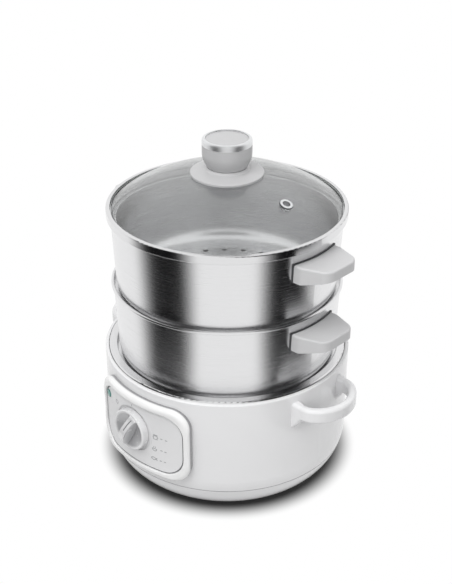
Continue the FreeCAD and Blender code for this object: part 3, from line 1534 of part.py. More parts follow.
def make_tier_handle(label, rise, turn):
    """Moulded handle: a rounded wing, thinner at its tip and hollow underneath."""
    body = new_body(label)
    body.setExpression("Placement", placement_text((0, 0, rise), [((0, 0, 1), turn)]))
    top, bottom = grip_levels()
    root = tier_wall(bottom)
    tip = tier_wall(top) + S.grip_reach
    inside = root - S.grip_inset
    shoulder = root + S.grip_shoulder
    half_root = S.grip_width / 2
    half_front = S.grip_front_width / 2
    wing = outline(body, "wing_outline", "XY", [
        (inside, -half_root),
        (shoulder, -half_root),
        (tip, -half_front),
        (tip, half_front),
        (shoulder, half_root),
        (inside, half_root),
    ], lift=bottom)
    extrude(body, "wing", wing, S.grip_root_depth)
    round_edges(body, "tip_corners", S.grip_round,
                lambda edge: is_upright(edge) and middle_of(edge).x > tip.value - 1)
    round_edges(body, "shoulder_corners", S.grip_round,
                lambda edge: is_upright(edge) and abs(middle_of(edge).x - shoulder.value) < 1)
    under = bottom - S.cut_over
    beyond = tip + S.cut_over
    tip_bottom = top - S.grip_tip_depth
    slope = outline(body, "slope_outline", "XZ", [
        (shoulder, bottom),
        (shoulder, under),
        (beyond, under),
        (beyond, tip_bottom),
        (tip, tip_bottom),
    ])
    extrude(body, "slope", slope, S.grip_width + S.cut_over, cut=True, middle=True)
    round_edges(body, "top_edge", S.grip_edge_round, lambda edge: lies_at_height(edge, top.value)
                and middle_of(edge).x > root.value)
    wall = S.grip_wall
    hollow = outline(body, "hollow_outline", "XY", [
        (inside, -(half_root - wall)),
        (shoulder, -(half_root - wall)),
        (tip - wall * 2, -(half_front - wall * 2)),
        (tip - wall * 2, half_front - wall * 2),
        (shoulder, half_root - wall),
        (inside, half_root - wall),
    ], lift=bottom)
    extrude(body, "hollow", hollow, S.grip_root_depth - S.grip_ceiling, cut=True, back=True)
    rod(body, "screw_pilot", THREADED_HOLE, S.grip_screw_reach,
        (screw_distance(), 0, top - S.grip_ceiling), cut=True)
    cut_by_drum(body, S.gasket_thickness)


def screw_distance():
    """How far a tier handle's screw is from the axis."""
    _, bottom = grip_levels()
    return tier_wall(bottom) + S.bracket_hole_reach


def cut_by_drum(body, stand_off):
    """Take away what lies inside the drum's tapered wall, with a stand-off."""
    top, bottom = grip_levels()
    low = bottom - S.gasket_thickness
    high = top + S.gasket_thickness
    cone = body.newObject("PartDesign::SubtractiveCone", "drum_clearance")
    bind(cone, Radius1=tier_wall(low) + stand_off, Radius2=tier_wall(high) + stand_off,
         Height=high - low)
    cone.setExpression("Placement", placement_text((0, 0, low), None))
    finish_feature(body, cone, True)


def wall_slice(low, high, inner, outer):
    """Section of a thin plate that lies along the drum's tapered wall."""
    return [
        (tier_wall(low) + inner, low),
        (tier_wall(low) + outer, low),
        (tier_wall(high) + outer, high),
        (tier_wall(high) + inner, high),
    ]


def make_handle_gaskets(label, rise):
    """Dark silicone frame between the drum and each handle."""
    body = new_body(label, rise)
    top, bottom = grip_levels()
    low = bottom - S.gasket_border
    high = top + S.gasket_border
    radius = tier_wall(bottom)
    span = span_of(S.grip_width + S.gasket_border * 2, radius)
    frame = revolve(body, "frame", wall_slice(low, high, 0, S.gasket_thickness), span=span)
    ceiling = top - S.grip_ceiling
    margin = S.bracket_margin
    section = wall_slice(ceiling - S.bracket_height - margin, ceiling + margin, -S.cut_over,
                         S.gasket_thickness + S.cut_over)
    window = revolve(body, "window", section, span=span_of(S.bracket_width + margin * 2, radius),
                     cut=True)
    repeat_round(body, "pair", [frame, window], 2)


def make_handle_brackets(label, rise):
    """Steel bracket welded to the drum under each handle, with a tab for the screw."""
    body = new_body(label, rise)
    top, bottom = grip_levels()
    ceiling = top - S.grip_ceiling
    radius = tier_wall(bottom)
    plate = revolve(body, "plate", wall_slice(ceiling - S.bracket_height, ceiling, 0,
                                              S.gasket_thickness),
                    span=span_of(S.bracket_width, radius))
    tab_start = tier_wall(ceiling) + S.gasket_thickness / 2
    tab = block(body, "tab", (tab_start, -(S.bracket_tab_width / 2), ceiling - S.gasket_thickness),
                (radius + S.bracket_tab_reach - tab_start, S.bracket_tab_width,
                 S.gasket_thickness))
    hole = rod(body, "hole", LOOSE_HOLE, S.gasket_thickness + S.cut_over,
               (screw_distance(), 0, ceiling - S.gasket_thickness), cut=True)
    repeat_round(body, "pair", [plate, tab, hole], 2)


def make_handle_screws(label, rise):
    """One screw from below into each handle."""
    body = new_body(label, rise)
    top, _ = grip_levels()
    seat = top - S.grip_ceiling - S.gasket_thickness
    head = rod(body, "head", S.screw_head_radius, S.screw_head_height,
               (screw_distance(), 0, seat - S.screw_head_height))
    shank = rod(body, "shank", S.screw_radius,
                S.gasket_thickness + S.grip_screw_reach - S.screw_play,
                (screw_distance(), 0, seat))
    repeat_round(body, "pair", [head, shank], 2)


# ---------------------------------------------------------------- lid

LID_RADIUS = TIER_RIM_RADIUS + S.lid_overhang
BAND_INNER = LID_RADIUS - S.band_width
LID_LIP_RADIUS = CUP_RADIUS - S.lid_lip_clearance
GLASS_FLAT_INNER = BAND_INNER - S.band_overlap
GLASS_BOTTOM = S.seat_gap + S.band_wall + S.gasket_wall
GLASS_FLAT = GLASS_BOTTOM + S.glass_thickness
BAND_TOP = GLASS_FLAT + S.gasket_wall + S.band_wall
DOME_RADIUS = (GLASS_FLAT_INNER * GLASS_FLAT_INNER + S.dome_rise * S.dome_rise) / (
    S.dome_rise * 2)
DOME_TOP = GLASS_FLAT + S.dome_rise
DOME_CENTRE = DOME_TOP - DOME_RADIUS
GLASS_EDGE = LID_RADIUS - S.band_wall - S.gasket_wall
INNER_FLAT = GLASS_FLAT_INNER - S.glass_flat_step
INNER_DOME = (INNER_FLAT * INNER_FLAT + S.dome_rise * S.dome_rise) / (S.dome_rise * 2)
INNER_TOP = GLASS_BOTTOM + S.dome_rise
VENT_SLEEVE = S.vent_bore + S.eyelet_wall + S.grommet_wall


def dome_height(distance):
    """Height of the glass's outer face at a distance from the axis."""
    return DOME_CENTRE + arc_reach(DOME_RADIUS, distance)


def under_dome(distance):
    """Height at a distance from the axis that keeps the seat gap to the glass's inner face."""
    return INNER_TOP - INNER_DOME + arc_reach(INNER_DOME - S.seat_gap, distance)


def dome_tilt():
    """Angle between the vent's axis and the vertical."""
    ratio = S.vent_distance / DOME_RADIUS
    return Size(math.degrees(math.asin(ratio.value)), f"asin({ratio.text})")


def vent_frame(along):
    """Point on the vent's axis at this distance out of the glass, and its turns."""
    tilt = dome_tilt()
    point = (S.vent_distance + sine(tilt) * along, 0,
             dome_height(S.vent_distance) + cosine(tilt) * along)
    return point, [((0, 1, 0), tilt)]


def vent_rod(body, name, radius, low, high, cut=False):
    """A cylinder on the vent's axis between two distances out of the glass."""
    point, turns = vent_frame(as_size(low))
    return tilted_rod(body, name, radius, as_size(high) - low, point, turns, cut)


def make_lid_glass():
    """Domed glass with a flat edge, a screw hole and a vent hole."""
    body = new_body("lid_glass", LID_RISE)
    revolve(body, "dome", [
        (0, INNER_TOP),
        (INNER_FLAT, GLASS_BOTTOM, -INNER_DOME),
        (GLASS_EDGE, GLASS_BOTTOM),
        (GLASS_EDGE, GLASS_FLAT),
        (GLASS_FLAT_INNER, GLASS_FLAT),
        (0, DOME_TOP, DOME_RADIUS),
    ])
    rod(body, "screw_hole", S.lid_screw_radius + S.cut_over, S.glass_thickness + S.cut_over * 2,
        (0, 0, DOME_TOP - S.glass_thickness - S.cut_over), cut=True)
    vent_rod(body, "vent_hole", VENT_SLEEVE + S.lamp_gap, -S.vent_cut, S.vent_cut, cut=True)


def make_lid_band():
    """Steel band folded round the glass's edge, with a lip that drops inside the rim."""
    body = new_body("lid_band", LID_RISE)
    inner = LID_RADIUS - S.band_wall
    low = S.seat_gap
    lip_inner = LID_LIP_RADIUS - S.band_wall
    revolve(body, "fold", [
        (lip_inner, low - S.lid_lip_depth),
        (LID_LIP_RADIUS, low - S.lid_lip_depth),
        (LID_LIP_RADIUS, low),
        (inner, low),
        (inner, low - S.band_skirt),
        (LID_RADIUS, low - S.band_skirt),
        (LID_RADIUS, BAND_TOP - S.band_round),
        (LID_RADIUS - S.band_round, BAND_TOP, S.band_round),
        (BAND_INNER, BAND_TOP),
        (BAND_INNER, BAND_TOP - S.band_wall),
        (inner, BAND_TOP - S.band_wall),
        (inner, low + S.band_wall),
        (lip_inner, low + S.band_wall),
    ])


def make_lid_gasket():
    """Silicone strip of U section round the glass's edge, inside the band."""
    body = new_body("lid_gasket", LID_RISE)
    outer = GLASS_EDGE + S.gasket_wall
    inner = BAND_INNER + S.gasket_wall
    low = S.seat_gap + S.band_wall
    revolve(body, "strip", [
        (inner, low),
        (outer, low),
        (outer, GLASS_FLAT + S.gasket_wall),
        (inner, GLASS_FLAT + S.gasket_wall),
        (inner, GLASS_FLAT),
        (GLASS_EDGE, GLASS_FLAT),
        (GLASS_EDGE, GLASS_BOTTOM),
        (inner, GLASS_BOTTOM),
    ])


def make_vent():
    """Steel eyelet and silicone grommet of the steam vent."""
    collar_top = S.grommet_lift + S.collar_wall
    below = -(S.glass_thickness + S.vent_tail)
    tube = S.vent_bore + S.eyelet_wall
    grommet = new_body("vent_grommet", LID_RISE)
    vent_rod(grommet, "sleeve", VENT_SLEEVE, below, S.grommet_lift)
    vent_rod(grommet, "collar", S.eyelet_flange, S.grommet_lift, collar_top)
    vent_rod(grommet, "bore", tube, below - S.cut_over, collar_top + S.cut_over, cut=True)
    eyelet = new_body("vent_eyelet", LID_RISE)
    vent_rod(eyelet, "tube", tube, below - S.vent_tail, collar_top)
    vent_rod(eyelet, "rim", S.eyelet_flange - S.vent_tail, collar_top, collar_top + S.eyelet_lip)
    vent_rod(eyelet, "bore", S.vent_bore, below - S.cut_over, S.vent_cut, cut=True)


def make_lid_knob():
    """Knob of the lid: foot disc, bowl-shaped grip, bright ring and inset cap."""
    disc = new_body("lid_knob_base", LID_RISE)
    bore = S.lid_screw_radius + S.lamp_gap
    edge = dome_height(S.knob_disc_radius)
    neck = DOME_TOP + S.knob_seat_height
    revolve(disc, "disc", [
        (bore, dome_height(bore), DOME_RADIUS),
        (bore, neck),
        (S.knob_neck_radius, neck),
        (S.knob_neck_radius + S.knob_cove, neck - S.knob_disc_edge, S.knob_cove),
        (S.knob_disc_radius - S.knob_disc_round, edge + S.knob_disc_edge),
        (S.knob_disc_radius, edge + S.knob_disc_edge - S.knob_disc_round, -S.knob_disc_round),
        (S.knob_disc_radius, edge),
    ])
    grip = new_body("lid_knob_grip", LID_RISE)
    top = neck + S.grip_height
    ring_low = top - S.trim_ring_height
    cup_floor = top - S.grip_cup_depth
    ring_inner = S.grip_top_radius - S.trim_ring_width
    boss_radius = ring_inner - S.lamp_gap
    flare = S.grip_top_radius - S.knob_neck_radius
    climb = S.grip_belly_height - S.grip_foot_round
    belly = (flare * flare + climb * climb) / (flare * 2)
    revolve(grip, "bowl", [
        (bore, neck),
        (S.knob_neck_radius - S.grip_foot_round, neck),
        (S.knob_neck_radius, neck + S.grip_foot_round, S.grip_foot_round),
        (S.grip_top_radius, neck + S.grip_belly_height, belly),
        (S.grip_top_radius, ring_low),
        (boss_radius, ring_low),
        (boss_radius, cup_floor),
        (bore, cup_floor),
    ])
    ring = new_body("lid_knob_ring", LID_RISE)
    revolve(ring, "ring", [
        (ring_inner, ring_low),
        (S.grip_top_radius, ring_low),
        (S.grip_top_radius, top - S.trim_ring_round),
        (S.grip_top_radius - S.trim_ring_round, top, S.trim_ring_round),
        (ring_inner + S.trim_ring_bevel, top),
        (ring_inner, top - S.trim_ring_bevel, S.trim_ring_bevel),
    ])
    cap = new_body("lid_knob_cap", LID_RISE)
    cap_edge = top - S.cap_drop
    sag = S.cap_crown
    crown = (boss_radius * boss_radius + sag * sag) / (sag * 2)
    revolve(cap, "cap", [
        (0, cup_floor),
        (boss_radius, cup_floor),
        (boss_radius, cap_edge),
        (0, cap_edge + sag, crown),
    ])


def make_lid_fixing():
    """Screw, washer and soft washer that hold the knob from under the glass."""
    bore = S.lid_screw_radius + S.lamp_gap
    soft_bottom = INNER_TOP - S.washer_drop
    washer_bottom = soft_bottom - S.washer_wall
    soft = new_body("lid_washer_seal", LID_RISE)
    revolve(soft, "ring", [
        (bore, soft_bottom),
        (S.washer_radius, soft_bottom),
        (S.washer_radius, under_dome(S.washer_radius)),
        (bore, under_dome(bore), INNER_DOME - S.seat_gap),
    ])
    washer = new_body("lid_washer", LID_RISE)
    revolve(washer, "ring", [
        (bore, washer_bottom),
        (S.washer_radius - S.washer_wall, washer_bottom),
        (S.washer_radius - S.washer_wall, soft_bottom),
        (bore, soft_bottom),
    ])
    screw = new_body("lid_screw", LID_RISE)
    tip = DOME_TOP + S.knob_seat_height + S.lid_screw_grip
    head_bottom = washer_bottom - S.lid_screw_head_height
    rod(screw, "shank", S.lid_screw_radius, tip - washer_bottom, (0, 0, washer_bottom))
    rod(screw, "head", S.lid_screw_head, S.lid_screw_head_height, (0, 0, head_bottom))
    rod(screw, "drive", S.lid_screw_drive, S.lid_screw_head_height / 2, (0, 0, head_bottom),
        cut=True)


# ---------------------------------------------------------------- build, test, write

def build_all():
    """Build every sub-part, from the housing up to the lid's knob."""
    make_base_shell()
    make_bottom_cover()
    make_feet()
    make_cover_screws()
    make_inner_pot()
    make_pot_seal()
    make_heating_plate()
    make_heating_tube()
    make_thermostat()
    make_thermal_fuse()
    make_heat_shield()
    make_pot_posts()
    make_panel_bezel()
    make_panel_face()
    make_indicator()
    make_switch()
    make_control_knob()
    make_knob_shaft()
    make_inlet()
    make_side_handle("side_handle_right", 0)
    make_side_handle("side_handle_left", 180)
    make_side_handle_screws()
    make_steam_rack()
    make_tier("lower_tier", LOWER_TIER_RISE)
    make_tier("upper_tier", UPPER_TIER_RISE)
    make_lid_glass()
    make_lid_band()
    make_lid_gasket()
    make_vent()
    make_lid_knob()
    make_lid_fixing()


def check_document():
    """Stop if an object failed or a sub-part's shape isn't sound."""
    for item in DOC.Objects:
        faults = {"Invalid", "Error"} & set(item.State)
        if faults:
            raise RuntimeError(f"{item.Label} is {', '.join(sorted(faults))}")
    for body in NODES:
        if body.Shape.isNull() or not body.Shape.isValid() or not body.Shape.Solids:
            raise RuntimeError(f"{body.Label} has no sound shape")


def write_parts():
    """Write each sub-part to its own STEP file."""
    os.makedirs("parts", exist_ok=True)
    for body in NODES:
        body.Shape.exportStep(f"parts/{body.Label}.step")
        box = body.Shape.BoundBox
        print(PIECE_FACTS.format(body.Label, len(body.Shape.Solids), body.Shape.Volume, box.ZMin,
                                 box.ZMax))


build_all()
DOC.recompute()
check_document()
write_parts()
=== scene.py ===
"""Electric food steamer: its finishes, its printed marks, the studio and the camera.

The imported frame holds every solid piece. Each sub-assembly below is a class that keeps its sizes as
fields, dresses its nodes in their finishes and builds the thin printed and filled pieces that the
solids leave out. Sizes are millimetres in a sub-assembly's fields and where a name ends in mm, and
metres elsewhere.
"""

import logging
import math
from dataclasses import dataclass, field, replace
from enum import Enum

import bmesh
import bpy
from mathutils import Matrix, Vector


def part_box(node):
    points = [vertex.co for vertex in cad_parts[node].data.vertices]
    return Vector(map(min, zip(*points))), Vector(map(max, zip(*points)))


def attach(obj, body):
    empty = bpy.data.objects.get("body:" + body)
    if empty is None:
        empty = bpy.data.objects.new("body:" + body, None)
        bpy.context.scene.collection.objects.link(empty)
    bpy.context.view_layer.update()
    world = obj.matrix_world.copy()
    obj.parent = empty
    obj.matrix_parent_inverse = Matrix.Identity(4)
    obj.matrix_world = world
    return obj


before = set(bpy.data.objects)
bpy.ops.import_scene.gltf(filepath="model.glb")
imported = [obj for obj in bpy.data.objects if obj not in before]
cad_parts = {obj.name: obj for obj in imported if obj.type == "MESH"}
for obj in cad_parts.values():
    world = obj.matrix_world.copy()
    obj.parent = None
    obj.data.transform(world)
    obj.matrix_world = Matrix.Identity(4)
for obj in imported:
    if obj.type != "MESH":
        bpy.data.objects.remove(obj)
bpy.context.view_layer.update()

LOG = logging.getLogger("steamer")
MM = 0.001
# The part of 0 to 1 that a noise texture mostly fills.
NOISE_LOW, NOISE_HIGH = 0.3, 0.7
# A Mix node's share and two colours go by number, because its other inputs have the same names.
SHARE, FROM, TO = 0, 6, 7

Node = bpy.types.Node
Socket = bpy.types.NodeSocket
Tree = bpy.types.NodeTree
Piece = bpy.types.Object
Point = tuple[float, float]
Place = tuple[float, float, float]


# ---------------------------------------------------------------- colours, scales and nodes

def linear(code: str) -> tuple[float, float, float, float]:
    """Turns an sRGB hex colour into linear RGBA.

    Args:
        code: the colour, such as "#E8E8E7".

    Returns:
        Red, green and blue, linear, and an alpha of 1.
    """
    shares = [int(code[i:i + 2], 16) / 255 for i in (1, 3, 5)]
    low = [s / 12.92 if s <= 0.04045 else ((s + 0.055) / 1.055) ** 2.4 for s in shares]
    return low[0], low[1], low[2], 1.0


def per_metre(size_mm: float) -> float:
    """Gives a texture scale whose features are size_mm across, in metre coordinates."""
    return 1 / (size_mm * MM)


def add(tree: Tree, kind: str, inputs: dict | None = None, **settings: str) -> Node:
    """Adds one shader node with its settings and links.

    Args:
        tree: the node tree that gets the node.
        kind: the node's type, without its ShaderNode prefix.
        inputs: what each input gets, by its name or number: a value, a socket to link, or a
            node, whose first output in use is linked.
        settings: the node's own settings, by name.

    Returns:
        The new node.
    """
    node = tree.nodes.new("ShaderNode" + kind)
    for name, value in settings.items():
        setattr(node, name, value)
    for key, value in (inputs or {}).items():
        if isinstance(value, Node):
            value = next(out for out in value.outputs if out.enabled)
        if isinstance(value, Socket):
            tree.links.new(value, node.inputs[key])
        else:
            node.inputs[key].default_value = value
    return node


def seen_rays(tree: Tree) -> Node:
    """Picks out the rays that show a thing to the eye, straight or by gloss or glass.

    Args:
        tree: the node tree that gets the nodes.

    Returns:
        The node that gives 1 for such a ray and 0 for any other.
    """
    path = add(tree, "LightPath")
    seen = add(tree, "Math", {0: path.outputs["Is Camera Ray"],
                              1: path.outputs["Is Glossy Ray"]}, operation="MAXIMUM")
    return add(tree, "Math", {0: seen, 1: path.outputs["Is Transmission Ray"]},
               operation="MAXIMUM")


# ---------------------------------------------------------------- finishes

class Grain(Enum):
    """How a metal surface was worked."""
    BRUSHED_ROUND = "belt-brushed round the axis"
    SPUN = "spun on a lathe and left with fine rings"
    POLISHED = "buffed bright"
    ROLLED = "as it comes from the rolling mill"


@dataclass(frozen=True)
class Finish:
    """A surface finish, made once and shared by every piece that has it."""
    name: str
    colour: str

    def material(self) -> bpy.types.Material:
        """Gives the finish's material, and makes it the first time.

        Returns:
            The material.
        """
        made = bpy.data.materials.get(self.name)
        if made is None:
            made = bpy.data.materials.new(self.name)
            made.use_nodes = True
            made.diffuse_color = linear(self.colour)
            made.node_tree.nodes.clear()
            add(made.node_tree, "OutputMaterial", {"Surface": self.surface(made.node_tree)})
        return made

    def surface(self, tree: Tree) -> Node:
        """Builds the shader.

        Args:
            tree: the material's node tree.

        Returns:
            The shader's last node.
        """
        raise NotImplementedError

    def dress(self, piece: Piece) -> None:
        """Puts the finish on a piece in place of what it has."""
        piece.data.materials.clear()
        piece.data.materials.append(self.material())


@dataclass(frozen=True)
class MouldedPlastic(Finish):
    """Injection-moulded ABS or PP.

    A mould leaves a hair of flow mottling in the colour, a long soft wave in the gloss and, on
    textured tools, a spark-eroded grain. Handling polishes some of it and dulls the rest. Real
    grain is about 0.1 mm across, so it is drawn some ten times as coarse to show at all.
    """
    shade: str = "#DEDEDD"
    mottle_mm: float = 38.0
    roughness: float = 0.2
    roughness_spread: float = 0.06
    rubbed_mm: float = 9.0
    grain_mm: float = 1.1
    grain_depth_mm: float = 0.004
    wave_mm: float = 14.0
    wave_depth_mm: float = 0.1
    coat: float = 0.0
    ior: float = 1.53
    flake: float = 0.0

    def surface(self, tree: Tree) -> Node:
        """Builds the shader.

        Args:
            tree: the material's node tree.

        Returns:
            The shader's last node.
        """
        place = add(tree, "TexCoord").outputs["Object"]
        mottle = add(tree, "TexNoise", {"Vector": place, "Scale": per_metre(self.mottle_mm),
                                        "Detail": 4.0, "Roughness": 0.6})
        tone = add(tree, "Mix", {SHARE: mottle, FROM: linear(self.colour),
                                 TO: linear(self.shade)}, data_type="RGBA")
        second = self.second_tone(tree, place)
        if second is not None:
            code, share = second
            tone = add(tree, "Mix", {SHARE: share, FROM: tone, TO: linear(code)},
                       data_type="RGBA")
        rubbed = add(tree, "TexNoise", {"Vector": place, "Scale": per_metre(self.rubbed_mm),
                                        "Detail": 6.0, "Roughness": 0.65})
        gloss = add(tree, "MapRange", {"Value": rubbed, "From Min": NOISE_LOW,
                                       "From Max": NOISE_HIGH,
                                       "To Min": self.roughness - self.roughness_spread,
                                       "To Max": self.roughness + self.roughness_spread})
        wave = add(tree, "TexNoise", {"Vector": place, "Scale": per_metre(self.wave_mm),
                                      "Detail": 1.0})
        flow = add(tree, "Bump", {"Height": wave, "Strength": 0.5,
                                  "Distance": self.wave_depth_mm * MM})
        grain = add(tree, "TexNoise", {"Vector": place, "Scale": per_metre(self.grain_mm),
                                       "Detail": 2.0})
        relief = add(tree, "Bump", {"Height": grain, "Strength": 1.0,
                                    "Distance": self.grain_depth_mm * MM, "Normal": flow})
        return add(tree, "BsdfPrincipled", {
            "Base Color": tone, "Roughness": gloss, "IOR": self.ior, "Normal": relief,
            "Coat Weight": self.coat, "Coat Roughness": 0.06, "Metallic": self.flake})

    def second_tone(self, tree: Tree, place: Socket) -> tuple[str, Node] | None:
        """Gives a second colour and where it lies: none, unless a class says otherwise."""
        return None


@dataclass(frozen=True)
class WallShadedPlastic(MouldedPlastic):
    """A curved frame with painted shade, a satin grey, on its side wall.

    The painted shade runs further round the edge at the sides and the foot, which face away from
    the light above, than over the top, where the edge stays bright.
    """
    # The grey of the painted shade on the wall.
    wall_shade: str = "#8E8E90"
    wall_radius: float = 0.1405
    front_radius: float = 0.1425
    top_setback: float = 0.0035

    def second_tone(self, tree: Tree, place: Socket) -> tuple[str, Node] | None:
        """Puts the painted shade on the wall, up to where the front's rounded edge begins.

        Args:
            tree: the material's node tree.
            place: the object coordinates.

        Returns:
            The grey, and the node that says where it lies.
        """
        # Faces that look up keep less of the painted shade, as the light falls from above.
        facing = add(tree, "SeparateXYZ", {0: add(tree, "NewGeometry").outputs["Normal"]})
        upward = add(tree, "Math", {0: facing.outputs["Z"], 1: 0.0}, operation="MAXIMUM")
        flat = add(tree, "VectorMath", {0: place, 1: (1.0, 1.0, 0.0)}, operation="MULTIPLY")
        reach = add(tree, "VectorMath", {0: flat}, operation="LENGTH")
        level = add(tree, "Math", {0: upward, 1: self.top_setback, 2: reach},
                    operation="MULTIPLY_ADD")
        share = add(tree, "MapRange", {"Value": level, "From Min": self.wall_radius,
                                       "From Max": self.front_radius, "To Min": 1.0,
                                       "To Max": 0.0}, interpolation_type="SMOOTHSTEP")
        return self.wall_shade, share


@dataclass(frozen=True)
class PartedPlastic(MouldedPlastic):
    """A shell whose parting groove holds painted shade, a thin grey line round it."""
    # The grey of the painted shade in the groove.
    groove_shade: str = "#BABABC"
    line_height: float = 0.041
    line_half: float = 0.0005

    def second_tone(self, tree: Tree, place: Socket) -> tuple[str, Node] | None:
        """Puts the painted shade in the groove.

        Args:
            tree: the material's node tree.
            place: the object coordinates.

        Returns:
            The grey, and the node that says where it lies.
        """
        level = add(tree, "SeparateXYZ", {0: place})
        inside = add(tree, "Math", {0: level.outputs["Z"], 1: self.line_height,
                                    2: self.line_half}, operation="COMPARE")
        return self.groove_shade, inside


@dataclass(frozen=True)
class ScoopShadedLacquer(MouldedPlastic):
    """Silver lacquer on the dial: bright on its rim and bar, painted shade in its scoops."""
    # The grey of the painted shade in the scoops.
    scoop_shade: str = "#B2B2B4"
    centre: Place = (0.0, 0.0, 0.0)
    outward: Place = (0.0, -1.0, 0.0)
    scoop_depth: float = 0.0075
    bar_height: float = 0.0155
    scoop_radius: float = 0.0185
    rim_radius: float = 0.0212

    def second_tone(self, tree: Tree, place: Socket) -> tuple[str, Node] | None:
        """Puts the painted shade low on the bar's sides and in the dish, short of the rim.

        Args:
            tree: the material's node tree.
            place: the object coordinates.

        Returns:
            The grey, and the node that says where it lies.
        """
        # Painted shade: darkest low down and inside the scoop radius, fading towards the bar's top
        # and rim.
        off = add(tree, "VectorMath", {0: place, 1: self.centre}, operation="SUBTRACT")
        height = add(tree, "VectorMath", {0: off, 1: self.outward}, operation="DOT_PRODUCT")
        beside = add(tree, "VectorMath", {0: off, 1: self.outward}, operation="CROSS_PRODUCT")
        reach = add(tree, "VectorMath", {0: beside}, operation="LENGTH")
        low = add(tree, "MapRange", {"Value": height, "From Min": self.scoop_depth,
                                     "From Max": self.bar_height, "To Min": 1.0,
                                     "To Max": 0.0}, interpolation_type="SMOOTHSTEP")
        inner = add(tree, "MapRange", {"Value": reach, "From Min": self.scoop_radius,
                                       "From Max": self.rim_radius, "To Min": 1.0,
                                       "To Max": 0.0}, interpolation_type="SMOOTHSTEP")
        return self.scoop_shade, add(tree, "Math", {0: low, 1: inner}, operation="MULTIPLY")


@dataclass(frozen=True)
class Steel(Finish):
    """Stainless or plated steel, worked as its grain says.

    Lines that run round the wall smear a highlight along the axis, so a drum shows tall soft
    bands. Real 240 grit lines are 0.05 mm apart and under a micron deep. They are drawn about
    0.5 mm apart in tone and gloss alone, so that they just show, unless a depth is given.
    """
    shade: str = "#E0E0E1"
    grain: Grain = Grain.BRUSHED_ROUND
    roughness: float = 0.26
    roughness_spread: float = 0.022
    line_mm: float = 0.5
    line_depth_mm: float = 0.0
    line_breaks: float = 2.2
    cloud_lines: float = 4.0
    anisotropy: float = 0.75

    def surface(self, tree: Tree) -> Node:
        """Builds the shader.

        Args:
            tree: the material's node tree.

        Returns:
            The shader's last node.
        """
        place = add(tree, "TexCoord").outputs["Object"]
        lined = self.grain in (Grain.BRUSHED_ROUND, Grain.SPUN)
        worked = self.rings(tree, place) if lined else self.cloud(tree, place)
        tone = add(tree, "Mix", {SHARE: worked, FROM: linear(self.colour),
                                 TO: linear(self.shade)}, data_type="RGBA")
        gloss = add(tree, "MapRange", {"Value": worked, "From Min": NOISE_LOW,
                                       "From Max": NOISE_HIGH,
                                       "To Min": self.roughness - self.roughness_spread,
                                       "To Max": self.roughness + self.roughness_spread})
        inputs = {"Base Color": tone, "Metallic": 1.0, "Roughness": gloss}
        if self.line_depth_mm:
            inputs["Normal"] = add(tree, "Bump", {"Height": worked, "Strength": 0.6,
                                                  "Distance": self.line_depth_mm * MM})
        if lined:
            round_axis = add(tree, "Tangent", direction_type="RADIAL", axis="Z")
            inputs |= {"Anisotropic": self.anisotropy, "Anisotropic Rotation": 0.25,
                       "Tangent": round_axis}
        return add(tree, "BsdfPrincipled", inputs)

    def rings(self, tree: Tree, place: Socket) -> Node:
        """Draws lines that run round the steamer's axis, on walls and floors alike.

        Args:
            tree: the material's node tree.
            place: the object coordinates.

        Returns:
            The node that gives the lines' strength, 0 to 1.
        """
        parts = add(tree, "SeparateXYZ", {0: place})
        flat = add(tree, "CombineXYZ", {"X": parts.outputs["X"], "Y": parts.outputs["Y"]})
        reach = add(tree, "VectorMath", {0: flat}, operation="LENGTH")
        rise = add(tree, "Math", {0: parts.outputs["Z"], 1: reach}, operation="ADD")
        across = add(tree, "Math", {0: rise, 1: per_metre(self.line_mm)}, operation="MULTIPLY")
        away = add(tree, "VectorMath", {0: flat}, operation="NORMALIZE")
        turn = add(tree, "VectorMath", {0: away, "Scale": self.line_breaks}, operation="SCALE")
        along = add(tree, "SeparateXYZ", {0: turn})
        spread = add(tree, "CombineXYZ", {"X": along.outputs["X"], "Y": along.outputs["Y"],
                                          "Z": across})
        return add(tree, "TexNoise", {"Vector": spread, "Scale": 1.0, "Detail": 5.0,
                                      "Roughness": 0.7})

    def cloud(self, tree: Tree, place: Socket) -> Node:
        """Draws the fine clouding that buffing, rolling or plating leaves."""
        return add(tree, "TexNoise", {"Vector": place, "Detail": 6.0, "Roughness": 0.7,
                                      "Scale": per_metre(self.line_mm * self.cloud_lines)})


@dataclass(frozen=True)
class CastMetal(Finish):
    """Die-cast aluminium: a fine pitted skin with darker flow marks, dull between them.

    Real pits are a few tenths of a millimetre wide, and are drawn coarser so that they show.
    """
    shade: str = "#8E9092"
    flow_mm: float = 22.0
    pit_mm: float = 1.4
    pit_depth_mm: float = 0.05

    def surface(self, tree: Tree) -> Node:
        """Builds the shader.

        Args:
            tree: the material's node tree.

        Returns:
            The shader's last node.
        """
        place = add(tree, "TexCoord").outputs["Object"]
        flow = add(tree, "TexNoise", {"Vector": place, "Scale": per_metre(self.flow_mm),
                                      "Detail": 5.0, "Distortion": 0.8})
        tone = add(tree, "Mix", {SHARE: flow, FROM: linear(self.colour),
                                 TO: linear(self.shade)}, data_type="RGBA")
        pits = add(tree, "TexVoronoi", {"Vector": place, "Scale": per_metre(self.pit_mm)})
        relief = add(tree, "Bump", {"Height": pits, "Strength": 0.5,
                                    "Distance": self.pit_depth_mm * MM})
        return add(tree, "BsdfPrincipled", {"Base Color": tone, "Metallic": 1.0,
                                            "Roughness": 0.5, "Normal": relief})


